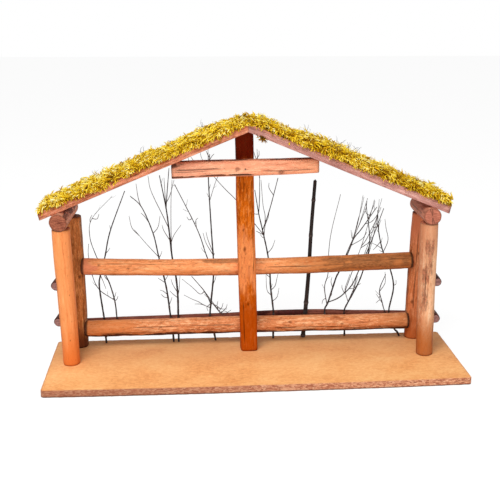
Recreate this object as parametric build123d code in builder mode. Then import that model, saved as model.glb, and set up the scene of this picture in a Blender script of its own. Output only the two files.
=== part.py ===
from build123d import *
import math
import os

os.makedirs("parts", exist_ok=True)

# A small open stable of peeled branches for a table-top crib scene.
# Millimetres. X runs along the front, Y from the front to the back, Z up.
# The origin is the middle of the base board's underside.

# Base board, chipboard with a hand-sawn front edge
base_width = 505.0
base_depth = 145.0
base_thickness = 9.0
base_corner_radius = 4.0
front_edge_bow = 3.0
base_edge_ease = 0.6

# Corner posts: insets from the board's edges, and how far each head leans in X
post_radius = 10.6
post_height = 171.0
post_head_swell = 0.4
front_row_inset = 75.5
rear_row_inset = 14.0
front_left_inset = 26.5
front_right_inset = 37.7
rear_left_inset = 31.0
rear_right_inset = 39.0
front_left_lean = -2.8
front_right_lean = -4.0
rear_left_lean = -1.2
rear_right_lean = 2.5
saw_ease = 0.8

# Purlins, laid front to back in saddles on the post heads
purlin_radius = 10.8
purlin_overhang = 10.5
purlin_saddle = 1.2
purlin_flat = 0.6
left_purlin_shift_front = -1.2
left_purlin_shift_rear = -4.0
right_purlin_shift_front = 0.2
right_purlin_shift_rear = -1.0

# Roof boards
roof_pitch = 22.5
roof_board_thickness = 10.0
roof_depth = 70.0
roof_setback = 4.2
eave_overhang = 20.3
ridge_shift = -3.4
roof_edge_ease = 0.7

# Moss mats glued on the boards
moss_thickness = 6.5
moss_edge_thickness = 3.2
moss_inset = 1.0
moss_shoulder = 9.0

# Rails across the back, cut to the round of the rear posts
rail_radius = 10.4
rail_forward = 5.2
rail_end_set = 8.0
upper_rail_height = 108.0
upper_rail_sag = 3.8
lower_rail_height = 25.0

# Centre post, a squared branch that leans a little
centre_post_width = 21.5
centre_post_depth = 20.5
centre_post_corner = 5.0
centre_foot_shift = 3.6
centre_head_shift = -3.0
rail_housing = 1.2

# Collar beam on the front of the centre post
collar_radius = 9.8
collar_left_reach = 89.0
collar_right_reach = 84.0
collar_bite = 1.0
collar_housing = 1.0

# Side rails, let into the outer sides of the posts
side_rail_radius = 5.6
side_rail_front_end = 3.0
side_rail_rear_end = 6.0
left_side_housing = 5.2
right_side_housing = 3.8
left_upper_side_height = 101.0
left_lower_side_height = 55.0
right_upper_side_height = 95.5
right_lower_side_height = 47.0

# Twig fence: bare twigs held between the rails and a thin bowed stick
twig_radius = 1.8
twig_gap = 0.4
twig_hole_depth = 6.0
twig_grid = 1.0
twig_lane = 3.0
twig_far_lane = 5.4
twig_post_gap = 4.0
twig_hole_clearance = 0.15
thick_stick_radius = 2.8
thick_stick_height = 212.0
twig_rail_radius = 3.5
twig_rail_housing = 1.0
twig_rail_height = 28.0
twig_rail_rise = 5.6
twig_rail_end = 6.0
twig_rail_bend_radius = 700.0

# Cut brads, square in section, driven in below the surface
nail_side = 1.6
nail_length = 28.0
side_nail_length = 23.0
short_nail_length = 16.0
nail_clearance = 0.05
nail_end_gap = 0.3
nail_sink = 0.2
purlin_nail_sink = 4.0
roof_nail_inset = 18.0

joint_clearance = 0.1

# Places that follow from the sizes above
board_top = base_thickness
front_row_y = -base_depth / 2 + front_row_inset
rear_row_y = base_depth / 2 - rear_row_inset
front_left_x = -base_width / 2 + front_left_inset
front_right_x = base_width / 2 - front_right_inset
rear_left_x = -base_width / 2 + rear_left_inset
rear_right_x = base_width / 2 - rear_right_inset
ridge_x = (front_left_x + front_right_x) / 2 + ridge_shift

slope = math.tan(math.radians(roof_pitch))
rise_share = math.sin(math.radians(roof_pitch))
run_share = math.cos(math.radians(roof_pitch))
purlin_to_roof = (purlin_radius - purlin_flat) / run_share

left_purlin_front_x = front_left_x + front_left_lean + left_purlin_shift_front
left_purlin_rear_x = rear_left_x + rear_left_lean + left_purlin_shift_rear
right_purlin_front_x = front_right_x + front_right_lean + right_purlin_shift_front
right_purlin_rear_x = rear_right_x + rear_right_lean + right_purlin_shift_rear

first_purlin_z = board_top + post_height - purlin_saddle + purlin_radius
ridge_z = first_purlin_z + purlin_to_roof + (ridge_x - left_purlin_front_x) * slope


def roof_underside(x):
    """Height of the roof boards' underside above the point x."""
    return ridge_z - abs(x - ridge_x) * slope


def purlin_height(x):
    """Height of a purlin's axis where it carries the roof at x."""
    return roof_underside(x) - purlin_to_roof


roof_front_y = front_row_y - post_radius + roof_setback
roof_rear_y = roof_front_y + roof_depth
left_eave_run = ridge_x - left_purlin_front_x + eave_overhang
right_eave_run = right_purlin_front_x - ridge_x + eave_overhang
left_roof_plane = Plane(origin=(ridge_x, 0, ridge_z), z_dir=(-rise_share, 0, run_share))
right_roof_plane = Plane(origin=(ridge_x, 0, ridge_z), z_dir=(rise_share, 0, run_share))

rail_y = rear_row_y - rail_forward
centre_back_y = rail_y - rail_radius + rail_housing
centre_front_y = centre_back_y - centre_post_depth
centre_y = (centre_front_y + centre_back_y) / 2
centre_foot_x = ridge_x + centre_foot_shift
centre_head_x = ridge_x + centre_head_shift
collar_y = centre_front_y + collar_housing - collar_radius
twig_row_y = rail_y + rail_radius + twig_gap + twig_radius
thick_stick_y = rail_y + rail_radius + twig_gap + thick_stick_radius
twig_rail_y = rear_row_y + post_radius - twig_rail_housing + twig_rail_radius
twig_rail_bow_y = thick_stick_y + thick_stick_radius + twig_gap + twig_rail_radius


def log(start, end, radius, grow=0.0, mode=Mode.ADD):
    """A straight round branch between two points."""
    first = Vector(*start)
    way = Vector(*end) - first
    with BuildSketch(Plane(origin=first, z_dir=way)) as section:
        Circle(radius + grow)
    extrude(section.sketch, amount=way.length, mode=mode)


def nail(head, way, length, sink=nail_sink):
    """A square brad whose top is set just below the surface point."""
    along = Vector(*way).normalized()
    with BuildSketch(Plane(origin=Vector(*head) + along * sink, z_dir=along)) as section:
        Rectangle(nail_side, nail_side)
    extrude(section.sketch, amount=length)


def nail_hole(head, way, length, sink=nail_sink):
    """The square hole that a brad makes, from outside the surface to past its point."""
    along = Vector(*way).normalized()
    side = nail_side + 2 * nail_clearance
    with BuildSketch(Plane(origin=Vector(*head) - along * nail_side, z_dir=along)) as section:
        Rectangle(side, side)
    extrude(section.sketch, amount=nail_side + sink + length + nail_end_gap, mode=Mode.SUBTRACT)


# Axes of the round members
left_purlin = (
    (left_purlin_front_x, front_row_y - purlin_overhang, purlin_height(left_purlin_front_x)),
    (left_purlin_rear_x, rear_row_y + purlin_overhang, purlin_height(left_purlin_rear_x)),
)
right_purlin = (
    (right_purlin_front_x, front_row_y - purlin_overhang, purlin_height(right_purlin_front_x)),
    (right_purlin_rear_x, rear_row_y + purlin_overhang, purlin_height(right_purlin_rear_x)),
)
upper_rail_z = board_top + upper_rail_height
lower_rail_z = board_top + lower_rail_height
rail_left_x = rear_left_x + rail_end_set
rail_right_x = rear_right_x - rail_end_set
upper_rail = ((rail_left_x, rail_y, upper_rail_z), (rail_right_x, rail_y, upper_rail_z))
lower_rail = ((rail_left_x, rail_y, lower_rail_z), (rail_right_x, rail_y, lower_rail_z))
collar_left_x = ridge_x - collar_left_reach
collar_right_x = ridge_x + collar_right_reach
collar_drop = collar_radius - collar_bite
collar_beam_axis = (
    (collar_left_x, collar_y, roof_underside(collar_left_x) - collar_drop),
    (collar_right_x, collar_y, roof_underside(collar_right_x) - collar_drop),
)


def on_axis(axis, y):
    """Point of a front-to-back member at the depth y."""
    (x0, y0, z0), (x1, y1, z1) = axis
    share = (y - y0) / (y1 - y0)
    return (x0 + (x1 - x0) * share, y, z0 + (z1 - z0) * share)


def head_height(purlin, y):
    """Height of a post's head under its purlin."""
    return on_axis(purlin, y)[2] - purlin_radius + purlin_saddle


def post_x(foot_x, lean, z, top):
    """X of a leaning post's axis at the height z."""
    return foot_x + lean * (z - board_top) / (top - board_top)


front_left_top = head_height(left_purlin, front_row_y)
front_right_top = head_height(right_purlin, front_row_y)
rear_left_top = head_height(left_purlin, rear_row_y)
rear_right_top = head_height(right_purlin, rear_row_y)


def side_rail_axis(height, hand):
    """Axis of a side rail let into the outer side of its two posts; hand is -1 left, 1 right."""
    z = board_top + height
    if hand < 0:
        front = post_x(front_left_x, front_left_lean, z, front_left_top)
        rear = post_x(rear_left_x, rear_left_lean, z, rear_left_top)
        out = post_radius + side_rail_radius - left_side_housing
    else:
        front = post_x(front_right_x, front_right_lean, z, front_right_top)
        rear = post_x(rear_right_x, rear_right_lean, z, rear_right_top)
        out = post_radius + side_rail_radius - right_side_housing
    at_posts = ((front + hand * out, front_row_y, z), (rear + hand * out, rear_row_y, z))
    return (
        on_axis(at_posts, front_row_y - side_rail_front_end),
        on_axis(at_posts, rear_row_y + side_rail_rear_end),
    )


left_upper_side = side_rail_axis(left_upper_side_height, -1)
left_lower_side = side_rail_axis(left_lower_side_height, -1)
right_upper_side = side_rail_axis(right_upper_side_height, 1)
right_lower_side = side_rail_axis(right_lower_side_height, 1)

# Nail places: point on the surface and the way the nail is driven
base_nail_places = (
    ((front_left_x, front_row_y, 0), (0, 0, 1)),
    ((front_right_x, front_row_y, 0), (0, 0, 1)),
    ((rear_left_x, rear_row_y, 0), (0, 0, 1)),
    ((rear_right_x, rear_row_y, 0), (0, 0, 1)),
    ((centre_foot_x, centre_y, 0), (0, 0, 1)),
)


def purlin_nail(purlin, y):
    """Nail from the top of a purlin down into the post below it."""
    x, depth, z = on_axis(purlin, y)
    return ((x, depth, z + purlin_radius), (0, 0, -1))


left_purlin_nails = (purlin_nail(left_purlin, front_row_y), purlin_nail(left_purlin, rear_row_y))
right_purlin_nails = (purlin_nail(right_purlin, front_row_y), purlin_nail(right_purlin, rear_row_y))


def roof_nail(purlin, y, hand):
    """Nail square through a roof board into the purlin under it."""
    x, depth, z = on_axis(purlin, y)
    reach = purlin_to_roof * run_share + roof_board_thickness
    head = (x + hand * rise_share * reach, depth, z + run_share * reach)
    return (head, (-hand * rise_share, 0, -run_share))


left_roof_nails = (
    roof_nail(left_purlin, roof_front_y + roof_nail_inset, -1),
    roof_nail(left_purlin, roof_rear_y - roof_nail_inset, -1),
)
right_roof_nails = (
    roof_nail(right_purlin, roof_front_y + roof_nail_inset, 1),
    roof_nail(right_purlin, roof_rear_y - roof_nail_inset, 1),
)

collar_share = (centre_head_x - collar_left_x) / (collar_right_x - collar_left_x)
collar_mid_z = collar_beam_axis[0][2] + (collar_beam_axis[1][2] - collar_beam_axis[0][2]) * collar_share
collar_nail_place = ((centre_head_x, collar_y - collar_radius, collar_mid_z), (0, 1, 0))


def rail_end_nail(foot_x, lean, z, top, hand):
    """Nail through a rear post into the end of a rail."""
    return ((post_x(foot_x, lean, z, top) + hand * post_radius, rail_y, z), (-hand, 0, 0))


end_nail_sink = post_radius - math.sqrt(post_radius ** 2 - rail_forward ** 2) + nail_sink
left_rail_nails = (
    rail_end_nail(rear_left_x, rear_left_lean, upper_rail_z, rear_left_top, -1),
    rail_end_nail(rear_left_x, rear_left_lean, lower_rail_z, rear_left_top, -1),
)
right_rail_nails = (
    rail_end_nail(rear_right_x, rear_right_lean, upper_rail_z, rear_right_top, 1),
    rail_end_nail(rear_right_x, rear_right_lean, lower_rail_z, rear_right_top, 1),
)
sag_share = (centre_foot_x - rail_left_x) / (rail_right_x - rail_left_x)
sag_at_centre = upper_rail_sag * 4 * sag_share * (1 - sag_share)
upper_centre_nail = ((centre_foot_x, rail_y + rail_radius, upper_rail_z - sag_at_centre), (0, -1, 0))
lower_centre_nail = ((centre_foot_x, rail_y + rail_radius, lower_rail_z), (0, -1, 0))


def side_rail_nail(axis, y, hand):
    """Nail through a side rail into the post behind it."""
    x, depth, z = on_axis(axis, y)
    return ((x + hand * side_rail_radius, depth, z), (-hand, 0, 0))


left_side_nails = tuple(
    side_rail_nail(axis, y, -1)
    for axis in (left_upper_side, left_lower_side)
    for y in (front_row_y, rear_row_y)
)
right_side_nails = tuple(
    side_rail_nail(axis, y, 1)
    for axis in (right_upper_side, right_lower_side)
    for y in (front_row_y, rear_row_y)
)
twig_rail_left_x = rear_left_x - twig_rail_end
twig_rail_right_x = rear_right_x + twig_rail_end
twig_rail_z = board_top + twig_rail_height
twig_rail_nails = (
    ((rear_left_x, twig_rail_y + twig_rail_radius, twig_rail_z), (0, -1, 0)),
    ((rear_right_x, twig_rail_y + twig_rail_radius, twig_rail_z), (0, -1, 0)),
)

# Feet of the twigs, spread along the row between the rear posts
row_span = rear_right_x - rear_left_x
twig_1_foot = (rear_left_x + row_span * 0.075, twig_row_y - twig_grid * 2.5)
twig_2_foot = (rear_left_x + row_span * 0.276, twig_row_y - twig_grid * 5.0)
twig_3_foot = (rear_left_x + row_span * 0.290, twig_row_y - twig_grid * 5.5)
twig_4_foot = (rear_left_x + row_span * 0.4035, twig_row_y - twig_grid * 4.0)
twig_5_foot = (rear_left_x + row_span * 0.576, twig_row_y - twig_grid)
thick_stick_foot = (rear_left_x + row_span * 0.667, thick_stick_y)
twig_6_foot = (rear_left_x + row_span * 0.7965, twig_row_y + twig_grid * 1.5)
twig_7_foot = (rear_right_x - post_radius - twig_post_gap, twig_row_y - twig_grid * 6.5)
twig_feet = (twig_1_foot, twig_2_foot, twig_3_foot, twig_4_foot, twig_5_foot, twig_6_foot, twig_7_foot)

with BuildPart() as base_board:
    with BuildSketch():
        with BuildLine():
            front_left = (-base_width / 2, -base_depth / 2)
            front_right = (base_width / 2, -base_depth / 2)
            rear_right = (base_width / 2, base_depth / 2)
            rear_left = (-base_width / 2, base_depth / 2)
            ThreePointArc(front_left, (0, -base_depth / 2 - front_edge_bow), front_right)
            Polyline(front_right, rear_right, rear_left, front_left)
        make_face()
    extrude(amount=base_thickness)
    fillet(base_board.edges().filter_by(Axis.Z), base_corner_radius)
    chamfer(base_board.faces().sort_by(Axis.Z)[-1].edges(), base_edge_ease)
    chamfer(base_board.faces().sort_by(Axis.Z)[0].edges(), base_edge_ease)
    with Locations(*[(x, y, board_top) for x, y in twig_feet]):
        Hole(radius=twig_radius + twig_hole_clearance, depth=twig_hole_depth)
    with Locations((thick_stick_foot[0], thick_stick_foot[1], board_top)):
        Hole(radius=thick_stick_radius + twig_hole_clearance, depth=twig_hole_depth)
    for head, way in base_nail_places:
        nail_hole(head, way, nail_length)


def post_log(foot_x, lean, row_y, top, grow=0.0, mode=Mode.ADD):
    """Leaning tapered log of a corner post, longer than the post at both ends."""
    reach = post_radius
    step = lean * reach / (top - board_top)
    foot = Vector(foot_x - step, row_y, board_top - reach)
    way = Vector(lean + 2 * step, 0, top - board_top + 2 * reach)
    with Locations(Plane(origin=foot, z_dir=way)):
        Cone(
            bottom_radius=post_radius - post_head_swell + grow,
            top_radius=post_radius + post_head_swell + grow,
            height=way.length, align=(Align.CENTER, Align.CENTER, Align.MIN), mode=mode,
        )


def corner_post(foot_x, lean, row_y, top, purlin, side_rails):
    """Peeled post: leaning log sawn level at both ends, saddle on top, housings outside."""
    post_log(foot_x, lean, row_y, top)
    split(bisect_by=Plane.XY.offset(board_top), keep=Keep.TOP)
    split(bisect_by=Plane.XY.offset(top), keep=Keep.BOTTOM)
    builder = BuildPart._get_context()
    chamfer(builder.edges().group_by(Axis.Z)[-1], saw_ease)
    log(*purlin, purlin_radius, grow=joint_clearance, mode=Mode.SUBTRACT)
    for axis in side_rails:
        log(*axis, side_rail_radius, grow=joint_clearance, mode=Mode.SUBTRACT)


with BuildPart() as front_left_post:
    corner_post(
        front_left_x, front_left_lean, front_row_y, front_left_top,
        left_purlin, (left_upper_side, left_lower_side),
    )
    nail_hole(*base_nail_places[0], nail_length)
    nail_hole(*left_purlin_nails[0], nail_length, purlin_nail_sink)
    nail_hole(*left_side_nails[0], side_nail_length)
    nail_hole(*left_side_nails[2], side_nail_length)

with BuildPart() as front_right_post:
    corner_post(
        front_right_x, front_right_lean, front_row_y, front_right_top,
        right_purlin, (right_upper_side, right_lower_side),
    )
    nail_hole(*base_nail_places[1], nail_length)
    nail_hole(*right_purlin_nails[0], nail_length, purlin_nail_sink)
    nail_hole(*right_side_nails[0], side_nail_length)
    nail_hole(*right_side_nails[2], side_nail_length)


def twig_rail_log(grow=0.0, mode=Mode.ADD):
    """Thin stick behind the twigs, bent up and back over the thick one."""
    bend = (thick_stick_foot[0] + twig_grid * 2.5, twig_rail_bow_y, twig_rail_z + twig_rail_rise)
    left_end = (twig_rail_left_x, twig_rail_y, twig_rail_z)
    right_end = (twig_rail_right_x, twig_rail_y, twig_rail_z)
    with BuildLine() as path:
        FilletPolyline(left_end, bend, right_end, radius=twig_rail_bend_radius)
    with BuildSketch(Plane(origin=left_end, z_dir=Vector(*bend) - Vector(*left_end))) as section:
        Circle(twig_rail_radius + grow)
    sweep(sections=section.sketch, path=path.line, mode=mode)


with BuildPart() as rear_left_post:
    corner_post(
        rear_left_x, rear_left_lean, rear_row_y, rear_left_top,
        left_purlin, (left_upper_side, left_lower_side),
    )
    twig_rail_log(grow=joint_clearance, mode=Mode.SUBTRACT)
    nail_hole(*base_nail_places[2], nail_length)
    nail_hole(*left_purlin_nails[1], nail_length, purlin_nail_sink)
    nail_hole(*left_side_nails[1], side_nail_length)
    nail_hole(*left_side_nails[3], side_nail_length)
    nail_hole(*left_rail_nails[0], nail_length, end_nail_sink)
    nail_hole(*left_rail_nails[1], nail_length, end_nail_sink)
    nail_hole(*twig_rail_nails[0], short_nail_length)

with BuildPart() as rear_right_post:
    corner_post(
        rear_right_x, rear_right_lean, rear_row_y, rear_right_top,
        right_purlin, (right_upper_side, right_lower_side),
    )
    twig_rail_log(grow=joint_clearance, mode=Mode.SUBTRACT)
    nail_hole(*base_nail_places[3], nail_length)
    nail_hole(*right_purlin_nails[1], nail_length, purlin_nail_sink)
    nail_hole(*right_side_nails[1], side_nail_length)
    nail_hole(*right_side_nails[3], side_nail_length)
    nail_hole(*right_rail_nails[0], nail_length, end_nail_sink)
    nail_hole(*right_rail_nails[1], nail_length, end_nail_sink)
    nail_hole(*twig_rail_nails[1], short_nail_length)


def trim_rail():
    """Cope both ends to the rear posts and house the rail over the centre post."""
    for foot_x, lean, top in (
        (rear_left_x, rear_left_lean, rear_left_top),
        (rear_right_x, rear_right_lean, rear_right_top),
    ):
        post_log(foot_x, lean, rear_row_y, top, grow=joint_clearance, mode=Mode.SUBTRACT)
    with Locations((centre_foot_x, centre_back_y, 0)):
        Box(
            centre_post_width * 1.6, centre_post_depth, ridge_z,
            align=(Align.CENTER, Align.MAX, Align.MIN), mode=Mode.SUBTRACT,
        )
    builder = BuildPart._get_context()
    middle = builder.solids().sort_by(SortBy.VOLUME)[-1]
    add(middle, mode=Mode.REPLACE)


with BuildPart() as upper_rail_part:
    half_span = (rail_right_x - rail_left_x) / 2
    sag_radius = (half_span ** 2 + upper_rail_sag ** 2) / (2 * upper_rail_sag)
    sag_angle = math.asin(half_span / sag_radius)
    sag_centre = (rail_left_x + half_span, rail_y, upper_rail_z - upper_rail_sag + sag_radius)
    with BuildSketch(Plane(origin=upper_rail[0], z_dir=(math.cos(sag_angle), 0, -math.sin(sag_angle)))):
        Circle(rail_radius)
    revolve(axis=Axis(sag_centre, (0, -1, 0)), revolution_arc=2 * math.degrees(sag_angle))
    trim_rail()
    nail_hole(*left_rail_nails[0], nail_length, end_nail_sink)
    nail_hole(*right_rail_nails[0], nail_length, end_nail_sink)
    nail_hole(*upper_centre_nail, nail_length)

with BuildPart() as lower_rail_part:
    log(*lower_rail, rail_radius)
    trim_rail()
    nail_hole(*left_rail_nails[1], nail_length, end_nail_sink)
    nail_hole(*right_rail_nails[1], nail_length, end_nail_sink)
    nail_hole(*lower_centre_nail, nail_length)

with BuildPart() as centre_post:
    lean_way = Vector(centre_head_x - centre_foot_x, 0, ridge_z - board_top)
    below_foot = Vector(centre_foot_x, centre_y, board_top) - lean_way * 0.05
    with BuildSketch(Plane(origin=below_foot, x_dir=(lean_way.Z, 0, -lean_way.X), z_dir=lean_way)):
        RectangleRounded(centre_post_width, centre_post_depth, centre_post_corner)
    extrude(amount=lean_way.length * 1.15)
    split(bisect_by=Plane.XY.offset(board_top), keep=Keep.TOP)
    split(bisect_by=left_roof_plane, keep=Keep.BOTTOM)
    split(bisect_by=right_roof_plane, keep=Keep.BOTTOM)
    nail_hole(*base_nail_places[4], nail_length)
    nail_hole(*collar_nail_place, nail_length)
    nail_hole(*upper_centre_nail, nail_length)
    nail_hole(*lower_centre_nail, nail_length)

with BuildPart() as collar_beam:
    log(*collar_beam_axis, collar_radius)
    chamfer(collar_beam.edges().group_by(Axis.X)[0], saw_ease)
    chamfer(collar_beam.edges().group_by(Axis.X)[-1], saw_ease)
    split(bisect_by=left_roof_plane, keep=Keep.BOTTOM)
    split(bisect_by=right_roof_plane, keep=Keep.BOTTOM)
    with Locations((centre_head_x, centre_front_y, 0)):
        Box(
            centre_post_width * 1.4, collar_radius, ridge_z,
            align=(Align.CENTER, Align.MIN, Align.MIN), mode=Mode.SUBTRACT,
        )
    nail_hole(*collar_nail_place, nail_length)


def purlin_log(axis, roof_plane, purlin_nails, roof_nails):
    """Purlin with sawn ends and its top planed to the roof boards."""
    log(*axis, purlin_radius)
    builder = BuildPart._get_context()
    chamfer(builder.edges().group_by(Axis.Y)[0], saw_ease)
    chamfer(builder.edges().group_by(Axis.Y)[-1], saw_ease)
    split(bisect_by=roof_plane, keep=Keep.BOTTOM)
    for head, way in purlin_nails:
        nail_hole(head, way, nail_length, purlin_nail_sink)
    for head, way in roof_nails:
        nail_hole(head, way, nail_length)


with BuildPart() as left_purlin_part:
    purlin_log(left_purlin, left_roof_plane, left_purlin_nails, left_roof_nails)

with BuildPart() as right_purlin_part:
    purlin_log(right_purlin, right_roof_plane, right_purlin_nails, right_roof_nails)


def on_slope(along, above, hand):
    """X and Z of a point on a roof slope: along it from the ridge, and square above the underside."""
    x = ridge_x + hand * (along * run_share + above * rise_share)
    z = ridge_z - along * rise_share + above * run_share
    return (x, z)


def roof_board(eave_run, hand, nails):
    """Plank mitred at the ridge and sawn square at the eave."""
    length = eave_run / run_share
    thick = roof_board_thickness
    corners = (
        on_slope(0, 0, hand),
        on_slope(-thick * slope, thick, hand),
        on_slope(length, thick, hand),
        on_slope(length, 0, hand),
    )
    with BuildSketch(Plane(origin=(0, roof_front_y, 0), x_dir=(1, 0, 0), z_dir=(0, -1, 0))) as profile:
        with BuildLine():
            Polyline(*corners, close=True)
        make_face()
    extrude(profile.sketch, amount=-roof_depth)
    builder = BuildPart._get_context()
    eave = builder.faces().sort_by(Axis.X)[0 if hand < 0 else -1]
    chamfer(eave.edges(), roof_edge_ease)
    for head, way in nails:
        nail_hole(head, way, nail_length)


with BuildPart() as left_roof_board:
    roof_board(left_eave_run, -1, left_roof_nails)

with BuildPart() as right_roof_board:
    roof_board(right_eave_run, 1, right_roof_nails)


def moss_mat(eave_run, hand):
    """Uneven mat that thins towards its edges, lofted from front to back."""
    length = eave_run / run_share
    under = roof_board_thickness
    swells = (1.15, 0.9, 1.1, 0.85, 1.05)
    depths = (
        (roof_front_y + moss_inset, moss_edge_thickness),
        (roof_front_y + moss_inset + moss_shoulder, moss_thickness),
        (roof_rear_y - moss_inset - moss_shoulder, moss_thickness),
        (roof_rear_y - moss_inset, moss_edge_thickness),
    )
    sections = []
    for y, thick in depths:
        ridge_above = under + thick * swells[0]
        crown = [on_slope(-ridge_above * slope, ridge_above, hand)]
        for step in (1, 2, 3, 4):
            along = length * step / 4.4
            crown.append(on_slope(along, under + thick * swells[step], hand))
        crown.append(on_slope(length - moss_inset, under + thick * 0.5, hand))
        outline = crown + [on_slope(length - moss_inset, under, hand), on_slope(-under * slope, under, hand)]
        with BuildSketch(Plane(origin=(0, y, 0), x_dir=(1, 0, 0), z_dir=(0, -1, 0))) as section:
            with BuildLine():
                Polyline(*outline, close=True)
            make_face()
        sections.append(section.sketch)
    loft(sections=sections, ruled=True)


with BuildPart() as left_moss:
    moss_mat(left_eave_run, -1)

with BuildPart() as right_moss:
    moss_mat(right_eave_run, 1)


def side_rail(axis, nails):
    """Thin peeled stick with sawn ends, nailed to the outer side of two posts."""
    log(*axis, side_rail_radius)
    builder = BuildPart._get_context()
    chamfer(builder.edges().group_by(Axis.Y)[0], saw_ease)
    chamfer(builder.edges().group_by(Axis.Y)[-1], saw_ease)
    for head, way in nails:
        nail_hole(head, way, side_nail_length)


with BuildPart() as left_upper_side_rail:
    side_rail(left_upper_side, left_side_nails[:2])

with BuildPart() as left_lower_side_rail:
    side_rail(left_lower_side, left_side_nails[2:])

with BuildPart() as right_upper_side_rail:
    side_rail(right_upper_side, right_side_nails[:2])

with BuildPart() as right_lower_side_rail:
    side_rail(right_lower_side, right_side_nails[2:])

with BuildPart() as twig_rail:
    twig_rail_log()
    for head, way in twig_rail_nails:
        nail_hole(head, way, short_nail_length)


def stem(foot, spots):
    """Six-sided stem through level sections: X from the foot, Y, height and radius."""
    sections = []
    for dx, y, height, radius in spots:
        middle = (foot[0] + dx * twig_grid, y, board_top + height * twig_grid)
        with BuildSketch(Plane(origin=middle)) as section:
            RegularPolygon(radius * twig_grid, 6)
        sections.append(section.sketch)
    loft(sections=sections, ruled=True)


def rooted_stem(foot, radius, spots):
    """A stem whose foot stands in its hole in the board."""
    with BuildSketch(Plane(origin=(foot[0], foot[1], board_top - twig_hole_depth))) as peg:
        RegularPolygon(radius, 6)
    extrude(peg.sketch, amount=twig_hole_depth)
    stem(foot, ((0, foot[1], 0, radius / twig_grid),) + spots)


def trim_under_roof():
    """Cut the twig tips off just below the roof boards."""
    split(bisect_by=left_roof_plane.offset(-twig_gap), keep=Keep.BOTTOM)
    split(bisect_by=right_roof_plane.offset(-twig_gap), keep=Keep.BOTTOM)


row = twig_row_y
back = twig_row_y + twig_lane
far = twig_row_y + twig_far_lane

with BuildPart() as twig_1:
    rooted_stem(twig_1_foot, twig_radius, (
        (-2, row, 22, 1.6), (-2, row, 33, 1.5), (-6, row, 76, 1.4), (-4, row, 92, 1.3),
        (3, row, 117, 1.2), (11, row, 150, 1.0), (31, row, 201, 0.7),
    ))
    stem(twig_1_foot, (
        (0, row - 1.5 * twig_grid, 8, 1.0), (13, row, 26, 1.2), (14, row, 40, 1.2), (12, back, 58, 1.2),
        (7, back, 79, 1.1), (2, back, 92, 1.0), (-9, back, 119, 0.9), (-15, back, 143, 0.8),
        (-11, back, 166, 0.7), (15, back, 194, 0.5),
    ))
    stem(twig_1_foot, (
        (12, back, 57, 0.8), (-6, back, 71, 0.8), (-14, back, 89, 0.7), (-18, back, 117, 0.7),
        (-17, back, 133, 0.6),
    ))
    trim_under_roof()

with BuildPart() as twig_2:
    rooted_stem(twig_2_foot, twig_radius, (
        (-2, row, 20, 1.7), (-4, row, 35, 1.6), (-7, row, 64, 1.5), (-10, row, 83, 1.4),
        (-17, row, 116, 1.2), (-23, row, 146, 1.0), (-36, row, 180, 0.8), (-50, back, 194, 0.6),
    ))
    stem(twig_2_foot, ((-17, row, 115, 0.9), (-33, row, 134, 0.8), (-46, row, 151, 0.6)))
    trim_under_roof()

with BuildPart() as twig_3:
    rooted_stem(twig_3_foot, twig_radius, (
        (0, row, 20, 1.8), (0, row, 35, 1.8), (0, row, 64, 1.7), (-2, row, 90, 1.6),
        (-6, row, 115, 1.5), (-9, row, 150, 1.3), (-12, row, 179, 1.1), (-19, row, 220, 0.7),
    ))
    stem(twig_3_foot, ((-12, row, 178, 0.9), (-10, row, 200, 0.8), (-7, row, 229, 0.6)))
    trim_under_roof()

with BuildPart() as twig_4:
    rooted_stem(twig_4_foot, twig_radius, (
        (-5, row, 20, 1.7), (-8, row, 34, 1.6), (-6, row, 57, 1.6), (-3, row, 88, 1.4),
        (-3, row, 114, 1.3), (-5, row, 149, 1.2), (-8, row, 219, 0.9), (-6, row, 246, 0.6),
    ))
    stem(twig_4_foot, (
        (-3, row, 92, 1.0), (-12, back, 116, 0.9), (-23, back, 150, 0.8), (-50, back, 208, 0.6),
    ))
    stem(twig_4_foot, ((-7, row, 50, 1.0), (-14, back, 65, 0.8), (-31, back, 87, 0.6)))
    stem(twig_4_foot, ((-7, row, 186, 0.8), (3, row, 216, 0.7), (14, row, 229, 0.5)))
    trim_under_roof()

with BuildPart() as twig_5:
    rooted_stem(twig_5_foot, twig_radius, (
        (0, row, 20, 1.7), (0, row, 37, 1.6), (-4, row, 71, 1.5), (-5, row, 89, 1.4),
        (-8, row, 115, 1.3), (-15, row, 148, 1.1), (-20, row, 170, 0.9), (-25, row, 200, 0.6),
    ))
    stem(twig_5_foot, ((-20, row, 169, 0.7), (-19, row, 190, 0.7), (-19, row, 215, 0.5)))
    stem(twig_5_foot, ((-15, row, 147, 0.9), (-6, row, 175, 0.8), (4, row, 215, 0.6)))
    trim_under_roof()

with BuildPart() as thick_stick:
    rooted_stem(thick_stick_foot, thick_stick_radius, (
        (3, thick_stick_y, 39, 2.8), (6, thick_stick_y, 90, 2.6), (8, thick_stick_y, 147, 2.4),
        (11.5, thick_stick_y, thick_stick_height / twig_grid, 2.2),
    ))
    trim_under_roof()

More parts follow.
